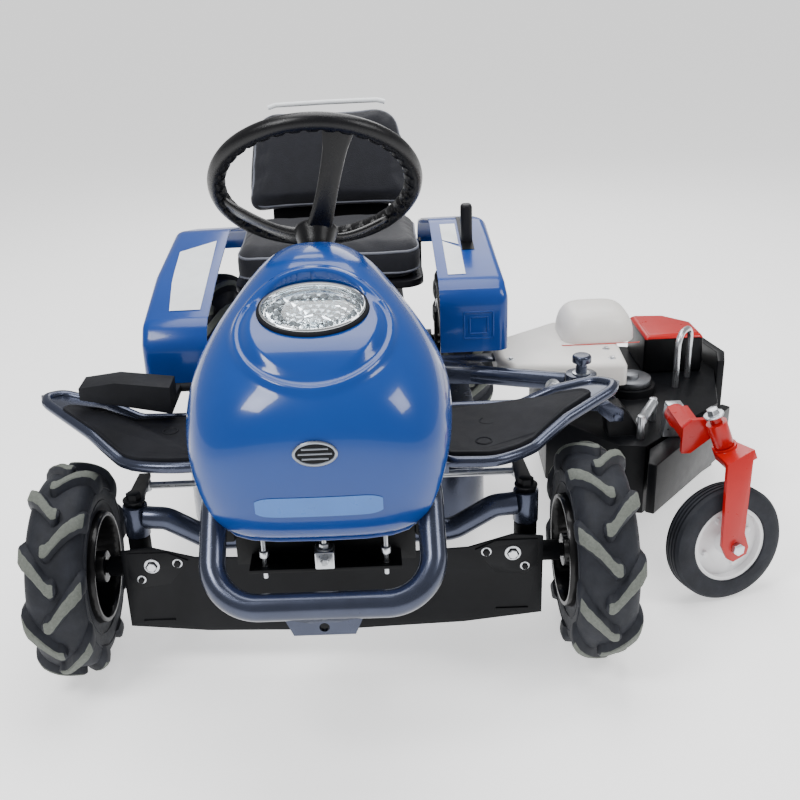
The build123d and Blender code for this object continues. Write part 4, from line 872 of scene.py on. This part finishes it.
# ---------------------------------------------------------------- steering wheel
WC = Vector((0, .210, .863))
WN = Vector((0, math.sin(math.radians(46)), math.cos(math.radians(46))))
WX = Vector((1, 0, 0))
WY = WN.cross(WX)
HC = Vector((0, .1258, .7817))
g = Geo()
n, m_ = 288, 20
RW = .1790
verts = []
for i in range(n):
    a = 2 * math.pi * i / n
    d = WX * math.cos(a) + WY * math.sin(a)
    wave = max(0.0, math.sin(a * 38)) ** 1.2
    for j in range(m_):
        b = 2 * math.pi * j / m_
        r = 0.0168
        inner = max(0.0, -math.cos(b)) * max(0.0, -math.sin(b) * 0.6 + 0.55)
        r -= 0.0046 * wave * min(1.0, inner * 1.6)
        verts.append(WC + d * (RW + r * math.cos(b)) + WN * (r * math.sin(b)))
faces = []
for i in range(n):
    for j in range(m_):
        faces.append((i * m_ + j, ((i + 1) % n) * m_ + j, ((i + 1) % n) * m_ + (j + 1) % m_, i * m_ + (j + 1) % m_))
g.add(verts, faces)
finish_obj(g.obj("steering_wheel_rim_look"), ["wheel_plastic"], "steering_wheel", rep=("steering_wheel_rim",), angle=60)
g = Geo()
DROP = (HC - WC).dot(WN)
for deg in (47, 165, 287):
    a = math.radians(deg)
    d = WX * math.cos(a) + WY * math.sin(a)
    s_ = WN.cross(d)
    secs = []
    K = 14
    for i in range(K + 1):
        t = i / K
        r = .026 + (RW - .026) * t
        h = DROP + .010 + (-DROP - .010) * (t ** 1.25)
        wdt = .0235 - .0045 * math.sin(math.pi * min(1, t * 1.1)) + .006 * max(0.0, t - .8) / .2
        thk = .0075 - .001 * t
        secs.append((WC + d * r + WN * h, wdt, thk))
    vs, fs = [], []
    ring = 12
    for i, (p, wdt, thk) in enumerate(secs):
        nx = secs[min(i + 1, K)][0] - secs[max(i - 1, 0)][0]
        t = nx.normalized()
        nn = s_.cross(t).normalized()
        for j in range(ring):
            b = 2 * math.pi * j / ring
            cx, cy = math.cos(b), math.sin(b)
            ex = math.copysign(abs(cx) ** 0.6, cx)
            ey = math.copysign(abs(cy) ** 0.8, cy)
            vs.append(p + s_ * (wdt * ex) + nn * (thk * ey))
    for i in range(K):
        for j in range(ring):
            j2 = (j + 1) % ring
            fs.append((i * ring + j, i * ring + j2, (i + 1) * ring + j2, (i + 1) * ring + j))
    fs.append(tuple(reversed(range(ring))))
    fs.append(tuple(K * ring + j for j in range(ring)))
    g.add(vs, fs)
g.revolve([(.0001, -.034), (.022, -.034), (.026, -.030), (.031, -.012), (.036, .004), (.0395, .014), (.0385, .019), (.034, .0215), (.020, .0225), (.0185, .0265),
           (.012, .0285), (.0001, .029)], HC, WN, 48)
g.tube([HC + WN * -.034, HC + WN * -.150], 0.009, 20)
finish_obj(g.obj("steering_wheel_hub_look"), ["wheel_plastic"], "steering_wheel", rep=("steering_wheel_hub",), angle=50)

# ---------------------------------------------------------------- footrests
FOOT = {
    "left": [(205, -52), (300, -58), (352, -30), (400, 14), (545, 118), (556, 150), (522, 196), (350, 206), (205, 206)],
    "right": [(-205, -30), (-285, -32), (-352, -18), (-400, 20), (-556, 165), (-566, 198), (-535, 236), (-350, 212), (-205, 206)],
}
PAD = {
    "left": [(212, -34), (298, -40), (346, -14), (396, 32), (500, 112), (486, 140), (350, 172), (212, 172)],
    "right": [(-212, -14), (-287, -14), (-350, -4), (-394, 32), (-512, 136), (-500, 160), (-350, 176), (-212, 172)],
}


def foot_z(x):
    x = abs(x)
    pts = [(0, 417), (375, 417), (440, 447), (580, 480)]
    for (x0, z0), (x1, z1) in zip(pts, pts[1:]):
        if x <= x1:
            return (z0 + (z1 - z0) * (x - x0) / (x1 - x0)) / 1000
    return .480


def smooth_loop(pts, rnd=0.02, per=5):
    pts = [Vector((x / 1000, y / 1000, 0)) for x, y in pts]
    out = []
    k = len(pts)
    for i in range(k):
        a, p, b = pts[i - 1], pts[i], pts[(i + 1) % k]
        da, db = (a - p), (b - p)
        r = min(rnd, da.length * 0.45, db.length * 0.45)
        p0, p1 = p + da.normalized() * r, p + db.normalized() * r
        for j in range(per + 1):
            t = j / per
            out.append((p0 * (1 - t) ** 2 + p * 2 * t * (1 - t) + p1 * t * t))
    return out


def densify(pts, step):
    out = []
    k = len(pts)
    for i in range(k):
        a, b = pts[i], pts[(i + 1) % k]
        n_ = max(1, int((b - a).length / step))
        for j in range(n_):
            out.append(a.lerp(b, j / n_))
    return out


def inset(pts, d):
    k = len(pts)
    cen = sum(pts, Vector((0, 0, 0))) / k
    out = []
    for i in range(k):
        t = (pts[(i + 1) % k] - pts[i - 1]).normalized()
        nn = Vector((-t.y, t.x, 0))
        if nn.dot(cen - pts[i]) < 0:
            nn = -nn
        out.append(pts[i] + nn * d)
    return out


for side in ("left", "right"):
    refine(f"footrest_{side}", bevel=0.0022, segs=3)
    loop = densify(smooth_loop(FOOT[side], 0.03), 0.008)
    loop = inset(loop, 0.0095)
    g = Geo()
    g.tube([Vector((p.x, p.y, foot_z(p.x * 1000) - 0.0030)) for p in loop], 0.0105, 16, closed=True)
    finish_obj(g.obj(f"footrest_rim_{side}"), ["gunmetal"], "chassis", angle=60)
    # moulded rubber pad with a raised border and round wells
    loop = densify(smooth_loop(PAD[side], 0.016), 0.006)
    g = Geo()
    rings = [(0.0, 0.0005), (0.0002, 0.008), (0.0022, 0.0115), (0.0055, 0.0120), (0.0085, 0.0102), (0.0120, 0.0098)]
    k = len(loop)
    base = len(g.v)
    for (ins, h) in rings:
        lp = inset(loop, ins)
        for p in lp:
            g.v.append(Vector((p.x, p.y, foot_z(p.x * 1000) + h)))
    for i in range(len(rings) - 1):
        for j in range(k):
            j2 = (j + 1) % k
            g.f.append((base + i * k + j, base + i * k + j2, base + (i + 1) * k + j2, base + (i + 1) * k + j))
            g.m.append(0)
    g.f.append(tuple(base + (len(rings) - 1) * k + j for j in range(k)))
    g.m.append(0)
    s = 1 if side == "left" else -1
    for (x, y) in ((.285, .010), (.300, .095), (.400, .105)) if side == "left" else ((.285, .030), (.300, .110), (.405, .110)):
        cc = Vector((s * x, y, foot_z(x * 1000) + .0098))
        up = Vector((0, 0, 1)) if x * 1000 < 375 else Vector((-s * 0.38, 0, 1)).normalized()
        g.revolve([(.0001, -.004), (.0095, -.004), (.0115, .0005), (.0135, .0022), (.0155, .0015), (.0165, -.0008)], cc, up, 32, 0)
    finish_obj(g.obj(f"footrest_pad_{side}_look"), ["pad_rubber"], "chassis", rep=(f"footrest_pad_{side}",), angle=40)

# ---------------------------------------------------------------- fenders
FSIDE = {
    "right": [(262, 452), (268, 545), (300, 582), (520, 622), (780, 652), (1100, 580), (1330, 520), (1385, 470), (1385, 452)],
    "left": [(432, 440), (438, 560), (470, 588), (780, 652), (1100, 580), (1330, 520), (1385, 470), (1385, 440)],
}


def out_x(z, y=1000):
    a = 412 - (z - 500) * 72 / 260 if z >= 500 else 428 - (z - 400) * 16 / 100
    pl = [(200, 368), (440, 386), (800, 416), (1000, 428), (1450, 428)]
    b = 428
    for (y0, x0), (y1, x1) in zip(pl, pl[1:]):
        if y0 <= y <= y1:
            b = x0 + (x1 - x0) * (y - y0) / (y1 - y0)
    return min(a, b)


for side, s in (("left", 1), ("right", -1)):
    poly = FSIDE[side]
    g = Geo()
    k = len(poly)
    inner = [Vector((s * .239, y / 1000, z / 1000)) for y, z in poly]
    outer = [Vector((s * (out_x(z, y) - 1) / 1000, y / 1000, z / 1000)) for y, z in poly]
    g.v += inner + outer
    g.f += [tuple(range(k)), tuple(reversed(range(k, 2 * k)))]
    g.m += [0, 0]
    for i in range(k):
        g.f.append((i, (i + 1) % k, (i + 1) % k + k, i + k))
        g.m.append(0)
    ob = g.obj(f"fender_{side}_look")
    bm = bmesh.new()
    bm.from_mesh(ob.data)
    bm.edges.ensure_lookup_table()
    zl = min(v.co.z for v in bm.verts)
    sel = [e for e in bm.edges if not all(v.co.z < zl + 0.016 for v in e.verts)]
    sel = [e for e in sel if len(e.link_faces) == 2 and e.link_faces[0].normal.angle(e.link_faces[1].normal) > math.radians(12)]
    # the tall inner edge stays tighter than the outer shoulder
    tight = [e for e in sel if all(abs(v.co.x - OFF.x - s * .239) < 1e-4 for v in e.verts)]
    wide = [e for e in sel if e not in tight]
    bmesh.ops.bevel(bm, geom=wide, offset=0.026, segments=7, profile=0.5, affect="EDGES", clamp_overlap=True)
    bm.faces.ensure_lookup_table()
    rm = [f for f in bm.faces if f.normal.z < -0.9 or (f.normal.x * s < -0.95)]
    bmesh.ops.delete(bm, geom=rm, context="FACES")
    bm.to_mesh(ob.data)
    bm.free()
    so = ob.modifiers.new("so", "SOLIDIFY")
    so.thickness = 0.004
    so.offset = -1
    apply_mods(ob)
    bevel_mod(ob, 0.0012, 2, 50)
    apply_mods(ob)
    finish_obj(ob, ["fender_blue"], "chassis", rep=(f"fender_{side}",), angle=45)
    if side == "left":
        LEFT_FENDER = ob


def top_z(side, y):
    poly = [p for p in FSIDE[side]]
    best = 0
    for (y0, z0), (y1, z1) in zip(poly, poly[1:]):
        if y0 <= y <= y1 and y1 > y0:
            best = max(best, z0 + (z1 - z0) * (y - y0) / (y1 - y0))
    return best / 1000


def label(name, side, poly, mname, lift=0.0012, body="chassis", thick=0.0006):
    s = 1 if side == "left" else -1
    g = Geo()
    pts = densify([Vector((x / 1000, y / 1000, 0)) for x, y in poly], 0.01)
    k = len(pts)
    cen = sum(pts, Vector((0, 0, 0))) / k
    vs = [Vector((s * p.x, p.y, top_z(side, p.y * 1000) + lift)) for p in pts]
    g.v += vs
    g.f.append(tuple(range(k)))
    g.m.append(0)
    ob = g.obj(name)
    bm = bmesh.new()
    bm.from_mesh(ob.data)
    bmesh.ops.triangulate(bm, faces=bm.faces)
    bm.to_mesh(ob.data)
    bm.free()
    so = ob.modifiers.new("so", "SOLIDIFY")
    so.thickness = thick
    so.offset = 1
    apply_mods(ob)
    return finish_obj(ob, [mname], body, angle=30)


label("fender_label_right", "right", [(258, 345), (322, 345), (334, 470), (340, 640), (262, 700), (258, 520)], "label_white")
label("fender_label_left", "left", [(262, 500), (300, 500), (300, 625), (262, 660)], "label_white")
label("fender_label_left_b", "left", [(262, 664), (297, 640), (297, 745), (262, 745)], "label_white")
# a thin black sheet on the left fender top stands for the slot opening: painted shade, no hole is cut
label("fender_slot_left", "left", [(303, 612), (331, 612), (331, 808), (303, 808)], "black_satin", lift=0.0008)
g = Geo()
for (x0, x1, z0, z1) in ((.290, .352, .470, .528), (.302, .340, .481, .517)):
    lp = [Vector((x, .4322 + .05 * (z - .44), z)) for x, z in ((x0, z0), (x1, z0), (x1, z1), (x0, z1))]
    lp2 = []
    for i in range(4):
        for j in range(6):
            lp2.append(lp[i].lerp(lp[(i + 1) % 4], j / 6))
    g.tube(lp2, .0022, 8, closed=True)
finish_obj(g.obj("fender_emboss_left"), ["fender_blue"], "chassis", angle=60)

# ---------------------------------------------------------------- seat: cloth pads
def cushion(name, node, body, shrink, cap, axis_fix=None):
    src = N[node]
    ob = bpy.data.objects.new(name, src.data.copy())
    COL.objects.link(ob)
    me = ob.data
    cen = Vector((0, 0, 0))
    for v in me.vertices:
        cen += v.co
    cen /= len(me.vertices)
    for v in me.vertices:
        v.co = cen + Vector(((v.co.x - cen.x) * shrink[0], (v.co.y - cen.y) * shrink[1], (v.co.z - cen.z) * shrink[2]))
    rm = ob.modifiers.new("r", "REMESH")
    rm.mode = "VOXEL"
    rm.voxel_size = 0.0065
    apply_mods(ob)
    rest = [v.co.copy() for v in ob.data.vertices]
    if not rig.quick():
        cl = ob.modifiers.new("cloth", "CLOTH")
        st = cl.settings
        st.quality = 5
        st.use_pressure = True
        st.uniform_pressure_force = 4.0
        st.tension_stiffness = 15
        st.compression_stiffness = 15
        st.effector_weights.gravity = 0
        cl.point_cache.frame_start = 1
        cl.point_cache.frame_end = 20
        for f in range(1, 21):
            scene.frame_set(f)
        apply_mods(ob)
        scene.frame_set(1)
    for v, r in zip(ob.data.vertices, rest):
        d = v.co - r
        if d.length > cap:
            v.co = r + d.normalized() * cap
    sm = ob.modifiers.new("sm", "SMOOTH")
    sm.iterations = 6
    sm.factor = 0.5
    ss = ob.modifiers.new("ss", "SUBSURF")
    ss.levels = ss.render_levels = 1
    apply_mods(ob)
    finish_obj(ob, ["seat_cover"], body, rep=(node,), angle=80)
    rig.padded(ob, fill=0.7)
    return ob


seat_c = cushion("seat_cushion_look", "seat_cushion", "seat", (.955, .955, .86), .012)
seat_b = cushion("seat_backrest_look", "seat_backrest", "seat", (.955, .93, .93), .012)


def snapped_piping(name, ob, pts, r, mname, body, closed=True, sink=0.0):
    bm = bmesh.new()
    bm.from_mesh(ob.data)
    bv = BVHTree.FromBMesh(bm)
    out = []
    for p in pts:
        loc, nrm, i, d = bv.find_nearest(Vector(p) + OFF)
        out.append(loc - OFF - nrm * sink)
    bm.free()
    for _ in range(3):
        out = [(out[i - 1] + out[i] * 2 + out[(i + 1) % len(out)]) / 4 for i in range(len(out))] if closed else out
    g = Geo()
    g.tube(out, r, 10, closed=closed)
    o = finish_obj(g.obj(name), [mname], body, angle=70)
    return o


def rrect(cx, cy, a, b, r, n=8):
    pts = []
    for (sx, sy, a0) in ((1, 1, 0), (-1, 1, 90), (-1, -1, 180), (1, -1, 270)):
        for j in range(n + 1):
            t = math.radians(a0 + 90 * j / n)
            pts.append(Vector((cx + sx * (a - r) + r * math.cos(t), cy + sy * (b - r) + r * math.sin(t), 0)))
    return pts


lp = densify(rrect(0, .735, .222, .170, .05), 0.012)
snapped_piping("seat_piping_top", seat_c, [Vector((p.x, p.y, .636)) for p in lp], .0032, "piping", "seat", sink=.0005)
snapped_piping("seat_piping_low", seat_c, [Vector((p.x, p.y, .574)) for p in lp], .0032, "piping", "seat", sink=.0005)
BP = Vector((0, .930, .598))
BX, BY = Vector((1, 0, 0)), Vector((0, math.sin(math.radians(18)), math.cos(math.radians(18))))
BZ = Vector((0, -math.cos(math.radians(18)), math.sin(math.radians(18))))
lp = densify(rrect(0, .178, .200, .128, .06), 0.012)
snapped_piping("seat_back_piping", seat_b, [BP + BX * p.x + BY * p.y + BZ * .030 for p in lp], .0032, "piping", "seat", sink=.0005)

g = Geo()
g.tube([Vector((-.150, 1.0665, .893)), Vector((-.130, 1.0680, .8985)), Vector((0, 1.0690, .8995)), Vector((.130, 1.0680, .8985)), Vector((.150, 1.0665, .893))], .0062, 14)
finish_obj(g.obj("seat_back_cap"), ["label_white"], "seat", angle=60)

# ---------------------------------------------------------------- belt cover
g = Geo()
bp_ = [(.372, .520), (.400, .462), (.560, .446), (.648, .446), (.655, .560), (.655, .745), (.530, .745), (.372, .630)]
g.prism(bp_, .340, .392)
ob = g.obj("belt_cover_base")
bm = bmesh.new()
bm.from_mesh(ob.data)
sel = [e for e in bm.edges if not all(v.co.z < .345 for v in e.verts)]
bmesh.ops.bevel(bm, geom=sel, offset=0.012, segments=5, profile=0.5, affect="EDGES", clamp_overlap=True)
bm.to_mesh(ob.data)
bm.free()
finish_obj(ob, ["white_cover"], "chassis", rep=("belt_cover",), angle=45)
# the hump: a rounded hood over the pulley
g = Geo()
K, Q = 40, 14
hv = []
for i in range(Q + 1):
    t = i / Q
    z = .3925 + (.4595 - .3925) * math.sin(t * math.pi / 2)
    sc = math.cos(t * math.pi / 2) ** 0.55
    for j in range(K):
        a = 2 * math.pi * j / K
        ca, sa = math.cos(a), math.sin(a)
        ex = math.copysign(abs(ca) ** 0.55, ca)
        ey = math.copysign(abs(sa) ** 0.55, sa)
        hv.append(Vector((.615 + .0848 * ex * (0.25 + 0.75 * sc if i < Q else 0.02), .656 + .0855 * ey * (0.25 + 0.75 * sc if i < Q else 0.02), z)))
hf = []
for i in range(Q):
    for j in range(K):
        j2 = (j + 1) % K
        hf.append((i * K + j, i * K + j2, (i + 1) * K + j2, (i + 1) * K + j))
hf.append(tuple(Q * K + j for j in range(K)))
g.add(hv, hf)
finish_obj(g.obj("belt_cover_hump"), ["white_cover"], "chassis", angle=45)

g = Geo()
g.tube([Vector((.526, .572, .3935)), Vector((.530, .5685, .3935)), Vector((.700, .5685, .3935)), Vector((.702, .572, .3935))], .0011, 8)
finish_obj(g.obj("belt_cover_stripe"), ["red_mark"], "chassis", angle=60)
g = Geo()
for (x, y, z) in ((.400, .500, .392), (.620, .480, .392), (.620, .540, .392), (.400, .600, .392)):
    g.bolt((x, y, z - .0005), (0, 0, 1), .0055, .004)
finish_obj(g.obj("belt_cover_screws"), ["zinc"], "chassis", angle=40)
g = Geo()
g.bolt((.530, .370, .404), (0, 0, 1), .012, .010)
g.bolt((.470, .367, .380), (0, -1, 0), .010, .007)
finish_obj(g.obj("side_arm_bolts"), ["zinc"], "chassis", angle=40)

# ---------------------------------------------------------------- caster wheel
CC = Vector((.779, .143, .1211))
CW = Vector((0.29, -0.9506, 0.1113)).normalized()
g = Geo()
prof = [(.0765, -.020), (.0805, -.0255), (.0935, -.0268), (.1075, -.0262), (.1150, -.0225), (.1170, -.0190)]
x = -.0190
grooves = [-.0135, -.0045, .0045, .0135]
for gx in grooves:
    prof += [(.1203 - abs(gx) * .05, gx - .0024), (.1165 - abs(gx) * .05, gx - .0012), (.1165 - abs(gx) * .05, gx + .0012), (.1203 - abs(gx) * .05, gx + .0024)]
prof += [(.1170, .0190), (.1150, .0225), (.1075, .0262), (.0935, .0268), (.0805, .0255), (.0765, .020)]
g.revolve(prof, CC, CW, 120, 0, closed=True)
finish_obj(g.obj("caster_tyre_look"), ["tyre"], "caster_wheel", rep=("caster_tyre",), angle=32)

# ---------------------------------------------------------------- everything else keeps its CAD form with eased edges
DONE = {"hood_shell", "headlight_bezel", "headlight_reflector", "headlight_lens", "hood_badge", "front_bumper",
        "front_tyre_left", "front_tyre_right", "rear_tyre_left", "rear_tyre_right", "steering_wheel_rim", "steering_wheel_hub",
        "footrest_left", "footrest_right", "footrest_pad_left", "footrest_pad_right", "fender_left", "fender_right",
        "seat_cushion", "seat_backrest", "belt_cover", "caster_tyre"}
def two_tone(node, top, side, bevel):
    ob = refine(node, m=side, bevel=bevel, segs=4)
    ob.data.materials.append(M[top])
    for p in ob.data.polygons:
        if p.normal.z > 0.35:
            p.material_index = 1
    return ob


two_tone("side_red_cover", "signal_red", "black_satin", 0.006)
DONE.add("side_red_cover")
SPECIAL = {"caster_fork": (0.003, 3), "caster_arm": (0.003, 3), "side_red_cover": (0.006, 3), "side_deck_shell": (0.004, 3),
           "side_skirt": (0.002, 2), "drive_pedal": (0.003, 3), "side_arm": (0.002, 2), "side_carrier": (0.0025, 2),
           "transaxle": (0.004, 3), "engine": (0.001, 2), "blower_housing": (0.008, 4), "main_deck_shell": (0.004, 3),
           "seat_pan": (0.003, 2), "lift_lever": (0.002, 3), "front_guard_plate": (0.0012, 2)}
for n in sorted(N):
    if n in DONE:
        continue
    bw, sg = SPECIAL.get(n, (0.0012, 2))
    try:
        refine(n, bevel=bw, segs=sg)
    except Exception as e:
        print("refine failed", n, e)

# ---------------------------------------------------------------- camera, light, floor
C = Vector((0.0928, -1.6995, 1.2450)) + OFF
yaw, pitch, roll = math.radians(-2.37), math.radians(23.06), math.radians(-3.39)
F = Vector((math.sin(yaw) * math.cos(pitch), math.cos(yaw) * math.cos(pitch), -math.sin(pitch)))
R0 = Vector((math.cos(yaw), -math.sin(yaw), 0))
U0 = R0.cross(F)
Rv = R0 * math.cos(roll) + U0 * math.sin(roll)
Uv = -R0 * math.sin(roll) + U0 * math.cos(roll)
cam_d = bpy.data.cameras.new("Camera")
cam = bpy.data.objects.new("Camera", cam_d)
COL.objects.link(cam)
mw = Matrix.Identity(4)
for i in range(3):
    mw[i][0], mw[i][1], mw[i][2], mw[i][3] = Rv[i], Uv[i], -F[i], C[i]
cam.matrix_world = mw
cam_d.sensor_width = 36
cam_d.lens = 1047.4 * 36 / 800
cam_d.shift_x = 64.6 / 800
cam_d.shift_y = 1.4 / 800
scene.camera = cam

fl = bpy.data.meshes.new("floor")
fl.from_pydata([(-400, -400, 0), (400, -400, 0), (400, 400, 0), (-400, 400, 0)], [], [(0, 1, 2, 3)])
floor = bpy.data.objects.new("floor", fl)
COL.objects.link(floor)
fm = mat("floor_pale", "#ffffff", 0.9, 0.0, var=0.005, scale=0.6, rvar=0.02, spec=0.1)
fb = fm.node_tree.nodes["Principled BSDF"]
fb.inputs["Emission Color"].default_value = (1, 1, 1, 1)
fb.inputs["Emission Strength"].default_value = 0.85
fl.materials.append(fm)
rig.stage(floor)

w = bpy.data.worlds.new("World")
scene.world = w
w.use_nodes = True
bg = w.node_tree.nodes["Background"]
bg.inputs["Color"].default_value = (1, 1, 1, 1)
bg.inputs["Strength"].default_value = 0.42


def area(name, loc, target, size, power, size_y=None):
    ld = bpy.data.lights.new(name, "AREA")
    ld.shape = "RECTANGLE"
    ld.size = size
    ld.size_y = size_y or size
    ld.energy = power
    o = bpy.data.objects.new(name, ld)
    COL.objects.link(o)
    o.location = Vector(loc) + OFF
    o.rotation_euler = (Vector(target) - Vector(loc)).to_track_quat("-Z", "Y").to_euler()
    return o


area("key", (-1.5, -1.4, 3.2), (0, 0, .4), 1.1, 75)
area("fill", (2.4, -0.8, 2.6), (.3, .2, .4), 1.0, 34)
area("top", (0.2, 0.9, 3.4), (0.1, .4, .4), 2.2, 85)
area("back", (0.6, 3.4, 2.6), (0, .5, .5), 2.0, 45)

BOX1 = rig.bounds()
json.dump({"cad": [list(BOX0[0]), list(BOX0[1])], "visual": [list(BOX1[0]), list(BOX1[1])]}, open("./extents.json", "w"))
